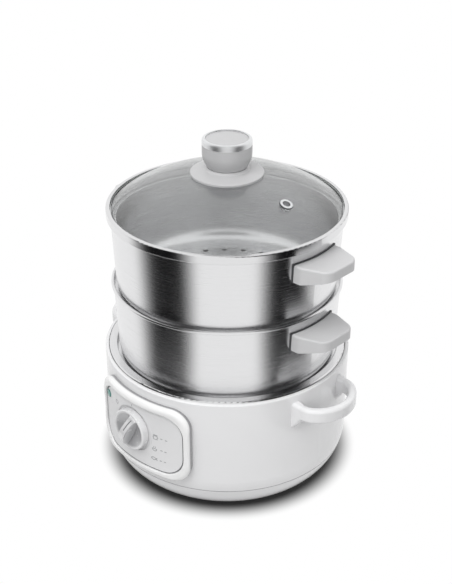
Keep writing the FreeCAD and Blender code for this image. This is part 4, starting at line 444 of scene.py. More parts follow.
@dataclass(frozen=True)
class Elastomer(Finish):
    """Silicone or rubber: soft, low gloss, with a bloom of fine dust in its pores."""
    shade: str = "#4A4B4D"
    roughness: float = 0.55
    bloom_mm: float = 2.5
    bloom_depth_mm: float = 0.02
    clarity: float = 0.0

    def surface(self, tree: Tree) -> Node:
        """Builds the shader.

        Args:
            tree: the material's node tree.

        Returns:
            The shader's last node.
        """
        place = add(tree, "TexCoord").outputs["Object"]
        bloom = add(tree, "TexNoise", {"Vector": place, "Scale": per_metre(self.bloom_mm),
                                       "Detail": 6.0, "Roughness": 0.7})
        tone = add(tree, "Mix", {SHARE: bloom, FROM: linear(self.colour),
                                 TO: linear(self.shade)}, data_type="RGBA")
        relief = add(tree, "Bump", {"Height": bloom, "Strength": 0.5,
                                    "Distance": self.bloom_depth_mm * MM})
        return add(tree, "BsdfPrincipled", {
            "Base Color": tone, "Roughness": self.roughness, "IOR": 1.41, "Normal": relief,
            "Sheen Weight": 0.08, "Sheen Roughness": 0.4, "Transmission Weight": self.clarity})


@dataclass(frozen=True)
class TemperedGlass(Finish):
    """Tempered soda-lime glass: clear, faintly green, with the long roller wave of tempering.

    It greys where it turns away from the view: painted shade, standing in for the dark edges that
    glass shows at a slant. Lamps reach what is under it through a clear path, so the steel below
    isn't left in the dark.
    """
    # The dark grey of the painted shade at a slant.
    edge: str = "#4A4F50"
    clear: str = "#F6F8F7"
    wave_mm: float = 45.0
    wave_depth_mm: float = 0.1
    film_mm: float = 18.0
    film_start: float = 0.45
    film_end: float = 0.8
    film_roughness: float = 0.03
    turn_start: float = 0.5
    turn_end: float = 0.9

    def surface(self, tree: Tree) -> Node:
        """Builds the shader.

        Args:
            tree: the material's node tree.

        Returns:
            The shader's last node.
        """
        place = add(tree, "TexCoord").outputs["Object"]
        wave = add(tree, "TexNoise", {"Vector": place, "Scale": per_metre(self.wave_mm),
                                      "Detail": 1.0})
        relief = add(tree, "Bump", {"Height": wave, "Strength": 0.4,
                                    "Distance": self.wave_depth_mm * MM})
        film = add(tree, "TexNoise", {"Vector": place, "Scale": per_metre(self.film_mm),
                                      "Detail": 5.0})
        haze = add(tree, "MapRange", {"Value": film, "From Min": self.film_start,
                                      "From Max": self.film_end,
                                      "To Max": self.film_roughness})
        # Painted shade: the colour turns to the edge grey where the glass is seen at a slant.
        slope = add(tree, "LayerWeight", {"Blend": 0.5})
        slant_shade_share = add(tree, "MapRange", {"Value": slope.outputs["Facing"],
                                           "From Min": self.turn_start,
                                           "From Max": self.turn_end})
        tint = add(tree, "Mix", {SHARE: slant_shade_share, FROM: linear(self.colour),
                                 TO: linear(self.edge)}, data_type="RGBA")
        glass = add(tree, "BsdfPrincipled", {
            "Base Color": tint, "Roughness": haze, "IOR": 1.52, "Transmission Weight": 1.0,
            "Normal": relief})
        clear = add(tree, "BsdfTransparent", {"Color": linear(self.clear)})
        path = add(tree, "LightPath")
        to_lamps = add(tree, "Math", {0: path.outputs["Is Shadow Ray"],
                                      1: path.outputs["Is Diffuse Ray"]}, operation="MAXIMUM")
        return add(tree, "MixShader", {0: to_lamps, 1: glass, 2: clear})


@dataclass(frozen=True)
class LampLens(Finish):
    """Tinted polycarbonate over a lit lamp: deeper at its edge, brighter over the lamp."""
    glow: str = "#258A7E"
    centre: Place = (0.0, 0.0, 0.0)
    radius_mm: float = 3.0
    flute_mm: float = 0.9
    flute_depth_mm: float = 0.05
    strength: float = 0.15

    def surface(self, tree: Tree) -> Node:
        """Builds the shader.

        Args:
            tree: the material's node tree.

        Returns:
            The shader's last node.
        """
        place = add(tree, "TexCoord").outputs["Object"]
        off = add(tree, "VectorMath", {0: place, 1: self.centre}, operation="DISTANCE")
        over = add(tree, "MapRange", {"Value": off, "From Min": 0.0,
                                      "From Max": self.radius_mm * MM, "To Min": 1.0,
                                      "To Max": 0.0})
        tone = add(tree, "Mix", {SHARE: over, FROM: linear(self.colour),
                                 TO: linear(self.glow)}, data_type="RGBA")
        flute = add(tree, "TexNoise", {"Vector": place, "Scale": per_metre(self.flute_mm),
                                       "Detail": 2.0})
        relief = add(tree, "Bump", {"Height": flute, "Strength": 0.4,
                                    "Distance": self.flute_depth_mm * MM})
        return add(tree, "BsdfPrincipled", {
            "Base Color": tone, "Roughness": 0.15, "IOR": 1.58, "Emission Color": tone,
            "Emission Strength": self.strength, "Normal": relief})


@dataclass(frozen=True)
class CircuitBoard(Finish):
    """Glass-fibre board under green solder mask, with copper tracks that lie just proud."""
    track: str = "#3E8F57"
    brick_mm: float = 12.0
    track_depth_mm: float = 0.04

    def surface(self, tree: Tree) -> Node:
        """Builds the shader.

        Args:
            tree: the material's node tree.

        Returns:
            The shader's last node.
        """
        place = add(tree, "TexCoord").outputs["Object"]
        tracks = add(tree, "TexBrick", {"Vector": place, "Scale": per_metre(self.brick_mm),
                                        "Mortar Size": 0.03, "Color1": linear(self.colour),
                                        "Color2": linear(self.colour),
                                        "Mortar": linear(self.track)})
        relief = add(tree, "Bump", {"Height": tracks.outputs["Fac"], "Strength": 0.6,
                                    "Distance": self.track_depth_mm * MM})
        return add(tree, "BsdfPrincipled", {"Base Color": tracks, "Roughness": 0.35,
                                            "IOR": 1.55, "Normal": relief})


@dataclass(frozen=True)
class PrintedInk(Finish):
    """Pad-printed ink: matt, a little uneven where the pad lets go.

    Real skips are about 0.2 mm wide, and are drawn four times as wide so that they show.
    """
    shade: str = "#A8A9AB"
    skip_mm: float = 0.8

    def surface(self, tree: Tree) -> Node:
        """Builds the shader.

        Args:
            tree: the material's node tree.

        Returns:
            The shader's last node.
        """
        place = add(tree, "TexCoord").outputs["Object"]
        skips = add(tree, "TexNoise", {"Vector": place, "Scale": per_metre(self.skip_mm),
                                       "Detail": 3.0})
        tone = add(tree, "Mix", {SHARE: skips, FROM: linear(self.colour),
                                 TO: linear(self.shade)}, data_type="RGBA")
        return add(tree, "BsdfPrincipled", {"Base Color": tone, "Roughness": 0.6, "IOR": 1.5})


# What a polished mould gives every gloss piece: a clean highlight.
POLISHED_MOULD = {"roughness": 0.17, "roughness_spread": 0.04, "coat": 0.25}
WHITE = {"colour": "#E3E3E4", "shade": "#DFDFE0"}

# Gloss ABS from a polished mould: white with a clean highlight and a faint orange-peel wave.
WHITE_ABS = MouldedPlastic("gloss_white_moulded_abs", **WHITE, **POLISHED_MOULD)
# The shell is the same plastic, with painted shade in its parting groove.
SHELL_ABS = PartedPlastic("gloss_white_abs_with_painted_groove_shade", **WHITE, **POLISHED_MOULD)
# The same ABS from a spark-eroded mould: a quieter, greyer white with a satin break-up.
SATIN_ABS = MouldedPlastic("satin_pale_grey_moulded_abs", "#DFDFE0", shade="#DADADB",
                           roughness=0.34, roughness_spread=0.06, grain_mm=1.3,
                           grain_depth_mm=0.012)
# The same gloss ABS with painted grey shade on its side wall: a bright front over a dark step.
BEZEL_ABS = WallShadedPlastic("gloss_white_abs_with_painted_wall_shade", "#EAEAEA", shade="#E6E6E6",
                           **POLISHED_MOULD)
# Glass-filled PP from a fine textured mould: a soft grey with no sharp highlight.
GREY_PP = MouldedPlastic("satin_grey_moulded_pp", "#C4C4C5", shade="#BFBFC0", roughness=0.42,
                         roughness_spread=0.07, grain_mm=1.4, grain_depth_mm=0.015, ior=1.49)
# The knob's PP is the same moulding in a deeper grey.
KNOB_PP = MouldedPlastic("satin_deep_grey_moulded_pp", "#B8B8B9", shade="#B3B3B4",
                         roughness=0.38, roughness_spread=0.06, grain_mm=1.4,
                         grain_depth_mm=0.012, ior=1.49)
# Black glass-filled nylon: dull and slightly streaked, as heat-proof mouldings are.
BLACK_NYLON = MouldedPlastic("black_glass_filled_nylon", "#1C1C1D", shade="#252527",
                             roughness=0.45, grain_mm=1.2, grain_depth_mm=0.02)
# Steatite, pressed and fired: an off-white chalky body.
STEATITE = MouldedPlastic("pressed_steatite_ceramic", "#E8E3D8", shade="#DBD5C8",
                          roughness=0.6, grain_mm=1.6, grain_depth_mm=0.03, ior=1.6)
# 18/10 sheet, drawn and belt-brushed round: tall soft bands of light and dark.
BRUSHED_STEEL = Steel("brushed_stainless_steel", "#E9E9EA")
# The same sheet spun over a former: wider rings and a harder shine.
SPUN_STEEL = Steel("spun_stainless_steel", "#E2E2E3", grain=Grain.SPUN, roughness=0.2,
                   line_mm=0.8, anisotropy=0.6, line_depth_mm=0.001)
# Buffed and chromed parts: a near mirror with a few hairs.
CHROME = Steel("buffed_chromed_steel", "#E6E8EA", grain=Grain.POLISHED, roughness=0.24,
               roughness_spread=0.03, line_depth_mm=0.0006)
# Satin chrome over die-cast zinc: a bright ring that blurs what it mirrors to soft greys.
SATIN_CHROME = Steel("satin_chromed_zinc", "#EEEFF0", shade="#E8E9EA", grain=Grain.POLISHED,
                     roughness=0.44, roughness_spread=0.03, line_depth_mm=0.0006)
# Zinc-plated sheet: a blue-grey, cloudy sheen.
ZINC_SHEET = Steel("zinc_plated_sheet_steel", "#B9BDC0", shade="#A9ADB0", grain=Grain.ROLLED,
                   roughness=0.36, line_depth_mm=0.004)
# Zinc-plated screws: small, bright and slightly passivated.
ZINC_SCREW = Steel("zinc_plated_screw_steel", "#C3C5C2", shade="#AFB1AC", grain=Grain.ROLLED,
                   roughness=0.3, line_mm=0.6)
# Die-cast aluminium: a dull, pitted grey skin.
CAST_ALUMINIUM = CastMetal("die_cast_aluminium", "#ABADAF")
# Clear silicone: a milky, soft-edged ring.
CLEAR_SILICONE = Elastomer("clear_moulded_silicone", "#D5D6D5", shade="#C9CAC9",
                           roughness=0.4, clarity=0.25)
# Dark silicone: the thin shadow line between steel and handle.
DARK_SILICONE = Elastomer("dark_moulded_silicone", "#3A3B3D", shade="#434446")
# A thin, grey, matt strip round the panel's face: painted shade for the gap there.
SEAM_SHADE = Elastomer("grey_painted_seam_shade", "#66676A", shade="#707174")
# Nitrile feet: black, dusty, with no gloss.
FOOT_RUBBER = Elastomer("moulded_nitrile_rubber", "#262627", shade="#323233", roughness=0.7)
# Tempered glass: clear when faced, with painted grey shade at a slant.
LID_GLASS = TemperedGlass("tempered_soda_lime_glass", "#FBFCFC")
# A lamp board in solder mask: deep green with paler tracks.
BOARD = CircuitBoard("solder_masked_fibre_board", "#1E5B38")
# Pad-printed ink: thin, matt and light grey.
GREY_INK = PrintedInk("pad_printed_grey_ink", "#9A9B9D")
# Ink wiped into a groove: the same, but denser.
DARK_INK = PrintedInk("filled_dark_grey_ink", "#6E6F71", shade="#7A7B7D")


# ---------------------------------------------------------------- meshes and strokes

def mesh_piece(name: str, corners: list[Vector], faces: list[tuple[int, ...]],
               thickness: float = 0.0) -> Piece:
    """Makes a piece from corners and faces.

    Args:
        name: the piece's name.
        corners: its corners, in metres.
        faces: its faces, as corner numbers.
        thickness: how thick the sheet is, half to each side, in metres.

    Returns:
        The piece, linked to the scene.
    """
    mesh = bpy.data.meshes.new(name)
    form = bmesh.new()
    points = [form.verts.new(corner) for corner in corners]
    for face in faces:
        form.faces.new([points[i] for i in face])
    bmesh.ops.recalc_face_normals(form, faces=form.faces)
    form.to_mesh(mesh)
    form.free()
    piece = bpy.data.objects.new(name, mesh)
    bpy.context.scene.collection.objects.link(piece)
    if thickness:
        sheet = piece.modifiers.new("thickness", "SOLIDIFY")
        sheet.thickness = thickness
        sheet.offset = 0.0
    return piece


def arc_points(centre: Point, radius: float, start: float = 0.0, turn: float = 360.0,
               count: int = 24, squash: float = 1.0) -> tuple[Point, ...]:
    """Gives points along an arc.

    Args:
        centre: the arc's centre.
        radius: its radius.
        start: the angle of its first point, in degrees.
        turn: how far it turns, in degrees.
        count: how many steps it takes.
        squash: its height as a share of its width.

    Returns:
        The points; a full turn leaves out the last, which is the first.
    """
    last = count if turn < 360 else count - 1
    angles = [math.radians(start + turn * i / count) for i in range(last + 1)]
    return tuple((centre[0] + radius * math.cos(a), centre[1] + radius * squash * math.sin(a))
                 for a in angles)


def corner_arcs(across: float, low: float, high: float, radius: float,
                steps: int) -> list[tuple[Point, ...]]:
    """Gives the four rounded corners of an outline, from the upper right and round.

    Args:
        across: how far their centres are from the middle line.
        low: how high the lower centres are.
        high: how high the upper centres are.
        radius: their radius.
        steps: how many steps each takes.

    Returns:
        The points of each corner.
    """
    centres = ((across, high), (-across, high), (-across, low), (across, low))
    return [arc_points(centre, radius, 90 * quarter, 90, steps)
            for quarter, centre in enumerate(centres)]


def bent(point: Point, level: float, radius: float) -> Vector:
    """Gives the place of a flat point once its sheet is bent round the housing.

    Args:
        point: how far it is round the panel and up, in millimetres.
        level: how far it ends up from the steamer's axis.
        radius: the radius at which its way round is measured.

    Returns:
        The place, in metres.
    """
    angle = point[0] / radius
    return Vector((level * math.sin(angle), -level * math.cos(angle), point[1])) * MM


@dataclass(frozen=True)
class Stroke:
    """One printed line on the flattened panel face."""
    points: tuple[Point, ...]
    width: float = 0.8
    closed: bool = False
    longest_step: float = 1.2

    def placed(self, place: Point, size: float) -> "Stroke":
        """Gives the stroke drawn to a size about a place, with its width as it is."""
        return replace(self, points=tuple((place[0] + x * size, place[1] + y * size)
                                          for x, y in self.points))

    def edges(self) -> tuple[list[Point], list[Point]]:
        """Gives the line's two edges.

        Returns:
            The points of its left edge and of its right edge.
        """
        line = self.divided()
        left, right = [], []
        for i, (x, y) in enumerate(line):
            before = line[i - 1] if i or self.closed else line[i]
            after = line[(i + 1) % len(line)] if i + 1 < len(line) or self.closed else line[i]
            run = Vector((after[0] - before[0], after[1] - before[1])).normalized()
            reach = self.width / 2
            left.append((x - run.y * reach, y + run.x * reach))
            right.append((x + run.y * reach, y - run.x * reach))
        return left, right

    def divided(self) -> list[Point]:
        """Divides the line so finely that it can follow a curve.

        Returns:
            Its points, with none further apart than the longest step.
        """
        ends = list(self.points) + ([self.points[0]] if self.closed else [])
        line: list[Point] = []
        for (x0, y0), (x1, y1) in zip(ends, ends[1:]):
            count = max(1, math.ceil(math.dist((x0, y0), (x1, y1)) / self.longest_step))
            line += [(x0 + (x1 - x0) * i / count, y0 + (y1 - y0) * i / count)
                     for i in range(count)]
        return line if self.closed else line + [ends[-1]]


class Sign(Enum):
    """The panel's printed signs, drawn from their place in shares of their size."""
    POT = (Stroke(((-0.8, 0.5), (-0.8, -1.0), (0.8, -1.0), (0.8, 0.5)), closed=True),
           Stroke(((-1.0, 0.85), (1.0, 0.85))), Stroke(((-1.25, 0.0), (-0.9, 0.0))),
           Stroke(((0.9, 0.0), (1.25, 0.0))))
    BOWL = (Stroke(arc_points((0.0, 0.0), 1.0, 180, 180, 14)),
            Stroke(((-1.1, 0.0), (1.1, 0.0))),
            Stroke(((-0.35, 0.4), (-0.35, 1.0)), 0.7), Stroke(((0.35, 0.4), (0.35, 1.0)), 0.7))
    FISH = (Stroke(arc_points((-0.3, 0.0), 1.0, count=22, squash=0.55), closed=True),
            Stroke(((1.35, 0.55), (0.7, 0.0), (1.35, -0.55))),
            Stroke(((-0.85, 0.069), (-0.65, 0.069)), 0.6))
    POWER = (Stroke(arc_points((0.0, 0.0), 1.0, 125, 290, 20), 0.7),
             Stroke(((0.0, 0.2), (0.0, 1.25)), 0.7))
    DASH = (Stroke(((-0.5, 0.0), (0.5, 0.0)), 1.0),)
    TICK = (Stroke(((0.0, 0.0), (0.0, 1.0)), 0.9),)


# ---------------------------------------------------------------- sub-assemblies

@dataclass
class SubAssembly:
    """Pieces that belong together and ride on one body."""
    body: str
    finishes: dict[str, Finish] = field(default_factory=dict)

    def build(self) -> list[Piece]:
        """Makes the pieces that the solids leave out: none, unless a class says otherwise."""
        return []

    def dress(self) -> None:
        """Puts every node of the sub-assembly in its finish."""
        for node, finish in self.finishes.items():
            finish.dress(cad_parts[node])
            LOG.info("%s: %s", node, finish.name)

    def keep(self, piece: Piece, finish: Finish, slot: str) -> Piece:
        """Finishes a new piece and lets it ride on the body.

        Args:
            piece: the new piece, in place.
            finish: its finish.
            slot: the record's material slot; not used.

        Returns:
            The same piece.
        """
        finish.dress(piece)
        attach(piece, self.body)
        LOG.info("%s: %s on %s", piece.name, finish.name, self.body)
        return piece


@dataclass
class Housing(SubAssembly):
    """The white shell, its cover, its feet and its two loop handles."""
    body: str = "base"
    finishes: dict[str, Finish] = field(default_factory=lambda: {
        "base_shell": SHELL_ABS, "base_bottom_cover": WHITE_ABS, "feet": FOOT_RUBBER,
        "cover_screws": ZINC_SCREW, "side_handle_right": WHITE_ABS,
        "side_handle_left": WHITE_ABS, "side_handle_screws": ZINC_SCREW})


@dataclass
class HeatingUnit(SubAssembly):
    """The fixed pot and what heats it from below."""
    body: str = "base"
    finishes: dict[str, Finish] = field(default_factory=lambda: {
        "inner_pot": SPUN_STEEL, "pot_seal": CLEAR_SILICONE, "heating_plate": CAST_ALUMINIUM,
        "heating_tube": ZINC_SHEET, "thermostat": ZINC_SCREW, "thermal_fuse": STEATITE,
        "heat_shield": ZINC_SHEET, "pot_posts": ZINC_SCREW})


@dataclass
class MainsInlet(SubAssembly):
    """The appliance inlet at the back."""
    body: str = "base"
    finishes: dict[str, Finish] = field(default_factory=lambda: {
        "inlet_socket": BLACK_NYLON, "inlet_pins": CHROME, "inlet_screws": ZINC_SCREW})


@dataclass
class ControlPanel(SubAssembly):
    """The curved panel: bezel, satin face, lamp, switch behind it and the printed marks.

    Places on it are measured round the face from its middle line, and up from the floor. The
    frame's crown starts a foot's width inside its outer edge, falls away outside its flat, and
    turns down over its last lip to the opening.
    """
    body: str = "base"
    face_radius: float = 141.7
    print_height: float = 0.07
    print_thickness: float = 0.05
    dial_height: float = 100.0
    dial_angle: float = 2.0
    recess_radius: float = 26.3
    tick_gap: float = 1.4
    tick_length: float = 2.2
    symbol_size: float = 2.9
    pot_place: Point = (27.3, 102.4)
    bowl_place: Point = (25.8, 87.0)
    fish_place: Point = (25.0, 73.8)
    dash_places: tuple[Point, ...] = ((34.8, 102.2), (40.6, 102.0), (34.6, 87.3), (39.4, 87.0),
                                      (33.3, 73.5), (38.4, 73.5))
    dash_length: float = 2.6
    lamp_mark_place: Point = (-32.2, 119.4)
    lamp_mark_size: float = 2.2
    face_half_width: float = 60.1
    face_low: float = 59.9
    face_high: float = 133.1
    face_corner: float = 23.6
    seam_inset: float = 0.45
    seam_width: float = 0.9
    seam_steps: int = 10
    frame_radius: float = 143.0
    frame_half_width: float = 68.64
    frame_low: float = 52.0
    frame_high: float = 141.0
    frame_corner: float = 22.0
    frame_width: float = 7.4
    opening_corner: float = 24.0
    corner_steps: int = 14
    side_steps: int = 32
    crown_rise: float = 0.8
    crown_flat: float = 6.2
    crown_reach: float = 5.1
    crown_fall: float = 1.75
    crown_foot: float = 1.9
    crown_lip: float = 0.7
    crown_shares: tuple[float, ...] = (0.0, 0.05, 0.15, 0.27, 0.4, 0.53, 0.66, 0.78, 0.87,
                                       0.93, 0.97, 1.0)
    finishes: dict[str, Finish] = field(default_factory=lambda: {
        "panel_bezel": BEZEL_ABS, "panel_face": SATIN_ABS, "indicator_lamp": LID_GLASS,
        "lamp_board": BOARD, "switch_body": BLACK_NYLON, "switch_plate": ZINC_SHEET,
        "switch_screws": ZINC_SCREW, "switch_terminals": ZINC_SCREW})

    def dress(self) -> None:
        """Puts every node in its finish, and the lens in a tint centred on itself."""
        super().dress()
        low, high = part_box("indicator_lens")
        lens = LampLens("tinted_polycarbonate_lens", "#12645B", centre=tuple((low + high) / 2),
                        radius_mm=(high.z - low.z) / MM / 2)
        lens.dress(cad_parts["indicator_lens"])

    def build(self) -> list[Piece]:
        """Prints the signs, fills the face's seam with painted shade and crowns the frame.

        Returns:
            The new pieces.
        """
        tick_place = (-self.face_radius * math.radians(self.dial_angle),
                      self.dial_height + self.recess_radius + self.tick_gap)
        prints = {
            "symbol_pot": (Sign.POT, self.symbol_size, [self.pot_place]),
            "symbol_bowl": (Sign.BOWL, self.symbol_size, [self.bowl_place]),
            "symbol_fish": (Sign.FISH, self.symbol_size, [self.fish_place]),
            "symbol_dashes": (Sign.DASH, self.dash_length, self.dash_places),
            "dial_tick": (Sign.TICK, self.tick_length, [tick_place]),
            "lamp_mark": (Sign.POWER, self.lamp_mark_size, [self.lamp_mark_place]),
        }
        made = []
        for name, (sign, size, places) in prints.items():
            strokes = [stroke.placed(place, size) for place in places for stroke in sign.value]
            made.append(self.keep(self.printed(name, strokes), GREY_INK, "handle_grey"))
        # A thin dark strip of painted shade fills the gap round the face.
        seam = self.printed("panel_seam_painted_shade", [self.seam()])
        return made + [self.keep(seam, SEAM_SHADE, "dark_silicone"),
                       self.keep(self.crown(), BEZEL_ABS, "white_abs")]

    def printed(self, name: str, strokes: list[Stroke]) -> Piece:
        """Bends flat strokes round the panel's face.

        Args:
            name: the piece's name.
            strokes: its strokes, flat.

        Returns:
            The printed piece.
        """
        level = self.face_radius + self.print_height
        corners: list[Vector] = []
        faces: list[tuple[int, ...]] = []
        for stroke in strokes:
            left, right = stroke.edges()
            first, count = len(corners), len(left)
            for pair in zip(left, right):
                corners += [bent(point, level, self.face_radius) for point in pair]
            for i in range(count if stroke.closed else count - 1):
                a, b = first + 2 * i, first + 2 * ((i + 1) % count)
                faces.append((a, a + 1, b + 1, b))
        return mesh_piece(name, corners, faces, self.print_thickness * MM)

    def seam(self) -> Stroke:
        """Gives the thin strip of painted shade that fills the gap round the face.

        Returns:
            The bead as one closed stroke.
        """
        corner = self.face_corner
        arcs = corner_arcs(self.face_half_width - corner, self.face_low + corner,
                           self.face_high - corner, corner - self.seam_inset, self.seam_steps)
        return Stroke(sum(arcs, ()), self.seam_width, closed=True)

    def crown(self) -> Piece:
        """Makes the frame's crowned front: a swell that falls away to its rounded edge.

        Returns:
            The crown, smooth-shaded.
        """
        inner = self.outline(self.frame_width, self.opening_corner)
        outer = self.outline(0.0, self.frame_corner)
        corners: list[Vector] = []
        faces: list[tuple[int, ...]] = []
        for (x0, z0), (x1, z1) in zip(outer, inner):
            width = math.dist((x0, z0), (x1, z1))
            for share in self.crown_shares:
                inset = self.crown_foot + (width - self.crown_foot) * share
                level = self.frame_radius + self.crown_height(inset, width - inset)
                if share in (0.0, 1.0):
                    level -= self.crown_rise
                point = (x0 + (x1 - x0) * inset / width, z0 + (z1 - z0) * inset / width)
                corners.append(bent(point, level, self.frame_radius))
        row = len(self.crown_shares)
        for i in range(len(outer)):
            a, b = i * row, (i + 1) % len(outer) * row
            faces += [(a + k, a + k + 1, b + k + 1, b + k) for k in range(row - 1)]
        piece = mesh_piece("panel_bezel_crown", corners, faces)
        piece.data.polygons.foreach_set("use_smooth", [True] * len(piece.data.polygons))
        return piece

    def crown_height(self, inset: float, left: float) -> float:
        """Gives how far the crown stands off the frame's front.

        Args:
            inset: how far inside the frame's outer edge.
            left: how far it still is to the opening's edge.

        Returns:
            Its height there, in millimetres.
        """
        fallen = max(0.0, (self.crown_flat - inset) / self.crown_reach)
        turned = max(0.0, 1 - left / self.crown_lip)
        return self.crown_rise * (1 - turned * turned / 2) - self.crown_fall * fallen * fallen

    def outline(self, inset: float, corner: float) -> list[Point]:
        """Gives a rounded outline inside the frame's outer edge, on the flattened panel.

        Args:
            inset: how far inside the edge it runs.
            corner: the radius of its corners.

        Returns:
            Its points, as many whatever its size.
        """
        arcs = corner_arcs(self.frame_half_width - inset - corner,
                           self.frame_low + inset + corner, self.frame_high - inset - corner,
                           corner, self.corner_steps)
        shares = [i / self.side_steps for i in range(1, self.side_steps)]
        points: list[Point] = []
        for arc, after in zip(arcs, arcs[1:] + arcs[:1]):
            (x0, z0), (x1, z1) = arc[-1], after[0]
            points += arc
            points += [(x0 + (x1 - x0) * share, z0 + (z1 - z0) * share) for share in shares]
        return points


@dataclass
class Dial(SubAssembly):
    """The dial knob, its shaft and the ink in its pointer groove."""
    body: str = "dial"
    back: float = 139.3
    height: float = 100.0
    panel_degrees: float = 2.0
    turn_degrees: float = 25.0
    knob_radius: float = 23.0
    bar_inset: float = 0.8
    disc: float = 8.5
    reach: float = 18.0
    pointer_start: float = 5.3
    pointer_end: float = 18.9
    pointer_width: float = 0.9
    pointer_depth: float = 0.45
    ink_thickness: float = 0.05
    steps: int = 14
    finishes: dict[str, Finish] = field(default_factory=lambda: {"knob_shaft": ZINC_SCREW})

    def dress(self) -> None:
        """Puts the shaft in its finish and the knob in lacquer, its painted shade on its axis."""
        super().dress()
        centre, front = self.placed(0, 0, 0), self.placed(0, 0, self.reach)
        lacquer = ScoopShadedLacquer("silver_lacquered_abs_with_painted_shade", "#E2E2E3", shade="#DADADB", roughness=0.24,
                              coat=0.3, flake=0.15, centre=tuple(centre),
                              outward=tuple((front - centre).normalized()))
        lacquer.dress(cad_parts["control_knob"])

    def build(self) -> list[Piece]:
        """Fills the pointer groove, just below the bar's arched top.

        Returns:
            The ink, in a list of its own.
        """
        lift = self.reach - (self.disc - self.bar_inset * 2)
        half = self.knob_radius - self.bar_inset
        bow = (half * half + lift * lift) / (lift * 2)
        corners: list[Vector] = []
        for i in range(self.steps + 1):
            along = self.pointer_start + (self.pointer_end - self.pointer_start) * i / self.steps
            out = self.reach - bow + math.sqrt((bow - self.pointer_depth) ** 2 - along ** 2)
            corners += [self.placed(side * self.pointer_width, along, out)
                        for side in (-0.5, 0.5)]
        faces = [(2 * i, 2 * i + 1, 2 * i + 3, 2 * i + 2) for i in range(self.steps)]
        line = mesh_piece("dial_pointer_ink", corners, faces, self.ink_thickness * MM)
        return [self.keep(line, DARK_INK, "handle_grey")]

    def placed(self, across: float, along: float, out: float) -> Vector:
        """Gives the row-frame place of a point in the knob's own frame.

        Args:
            across: how far it is across the finger bar.
            along: how far it is along the bar, towards the pointer's end.
            out: how far it stands out of the panel.

        Returns:
            The place, in metres.
        """
        turn, swing = math.radians(self.turn_degrees), math.radians(self.panel_degrees)
        aside = across * math.cos(turn) + along * math.sin(turn)
        rise = along * math.cos(turn) - across * math.sin(turn)
        distance = self.back + out
        return Vector((aside * math.cos(swing) - distance * math.sin(swing),
                       -distance * math.cos(swing) - aside * math.sin(swing),
                       self.height + rise)) * MM


@dataclass
class Rack(SubAssembly):
    """The perforated rack in the pot."""
    body: str = "rack"
    finishes: dict[str, Finish] = field(default_factory=lambda: {
        "steam_rack": SPUN_STEEL, "rack_legs": CHROME})


@dataclass
class Tier(SubAssembly):
    """One steel tier with its perforated floor and its two handles."""
    body: str = "lower_tier"

    def __post_init__(self) -> None:
        """Names the tier's nodes after its body."""
        self.finishes = {f"{self.body}_{piece}": finish for piece, finish in {
            "drum": BRUSHED_STEEL, "floor": SPUN_STEEL, "handle_right": GREY_PP,
            "handle_left": GREY_PP, "handle_gaskets": DARK_SILICONE,
            "handle_brackets": ZINC_SHEET, "handle_screws": ZINC_SCREW}.items()}


@dataclass
class Lid(SubAssembly):
    """The domed glass lid with its band, vent and knob."""
    body: str = "lid"
    finishes: dict[str, Finish] = field(default_factory=lambda: {
        "lid_glass": LID_GLASS, "lid_band": SPUN_STEEL, "lid_gasket": CLEAR_SILICONE,
        "vent_grommet": DARK_SILICONE, "vent_eyelet": CHROME, "lid_knob_base": KNOB_PP,
        "lid_knob_grip": KNOB_PP, "lid_knob_ring": SATIN_CHROME, "lid_knob_cap": KNOB_PP,
        "lid_washer_seal": CLEAR_SILICONE, "lid_washer": ZINC_SHEET, "lid_screw": ZINC_SCREW})


# ---------------------------------------------------------------- studio and camera

@dataclass(frozen=True)
class PaleFloor(Finish):
    """Matt paper that keeps the contact shadow and turns to plain white away from it.

    Under the object it is dark where the contact shadow falls: a painted shadow, which the real
    shade on it deepens and which lets little light creep back below the bowl. The key lamp hangs
    in front, so the painted shadow's middle lies a little behind the object's.
    """
    # The dark grey of the painted shadow under the object.
    painted_shadow: str = "#545454"
    bounce: str = "#B0B0B0"
    middle: Place = (-0.0136, 0.0146, 0.0)
    painted_shadow_radius: float = 0.1235
    white_radius: float = 0.1535

    def surface(self, tree: Tree) -> Node:
        """Builds the shader.

        Args:
            tree: the material's node tree.

        Returns:
            The shader's last node.
        """
        place = add(tree, "TexCoord").outputs["Object"]
        off = add(tree, "VectorMath", {0: place, 1: self.middle}, operation="DISTANCE")
        away = add(tree, "MapRange", {"Value": off, "From Min": self.painted_shadow_radius,
                                      "From Max": self.white_radius},
                   interpolation_type="SMOOTHSTEP")
        # The dark diffuse under the object is the painted shadow; beyond it the floor glows plain
        # white.
        painted_shadow = add(tree, "BsdfDiffuse", {"Color": linear(self.painted_shadow)})
        white = add(tree, "Emission", {"Color": linear(self.colour), "Strength": 1.0})
        shown = add(tree, "MixShader", {0: away, 1: painted_shadow, 2: white})
        back = add(tree, "Mix", {SHARE: away, FROM: linear(self.painted_shadow),
                                 TO: linear(self.bounce)}, data_type="RGBA")
        dim = add(tree, "BsdfDiffuse", {"Color": back})
        return add(tree, "MixShader", {0: seen_rays(tree), 1: dim, 2: shown})


@dataclass(frozen=True)
class FlagCloth(Finish):
    """A dark flag with soft edges: it fades to nothing towards both sides."""
    half_width: float = 0.17
    core: float = 0.3

    def surface(self, tree: Tree) -> Node:
        """Builds the shader.

        Args:
            tree: the material's node tree.

        Returns:
            The shader's last node.
        """
        place = add(tree, "SeparateXYZ", {0: add(tree, "TexCoord").outputs["Object"]})
        off = add(tree, "Math", {0: place.outputs["X"]}, operation="ABSOLUTE")
        edge = add(tree, "MapRange", {"Value": off, "From Min": self.half_width * self.core,
                                      "From Max": self.half_width},
                   interpolation_type="SMOOTHSTEP")
        dark = add(tree, "Emission", {"Color": linear(self.colour), "Strength": 1.0})
        return add(tree, "MixShader", {0: edge, 1: dark, 2: add(tree, "BsdfTransparent")})


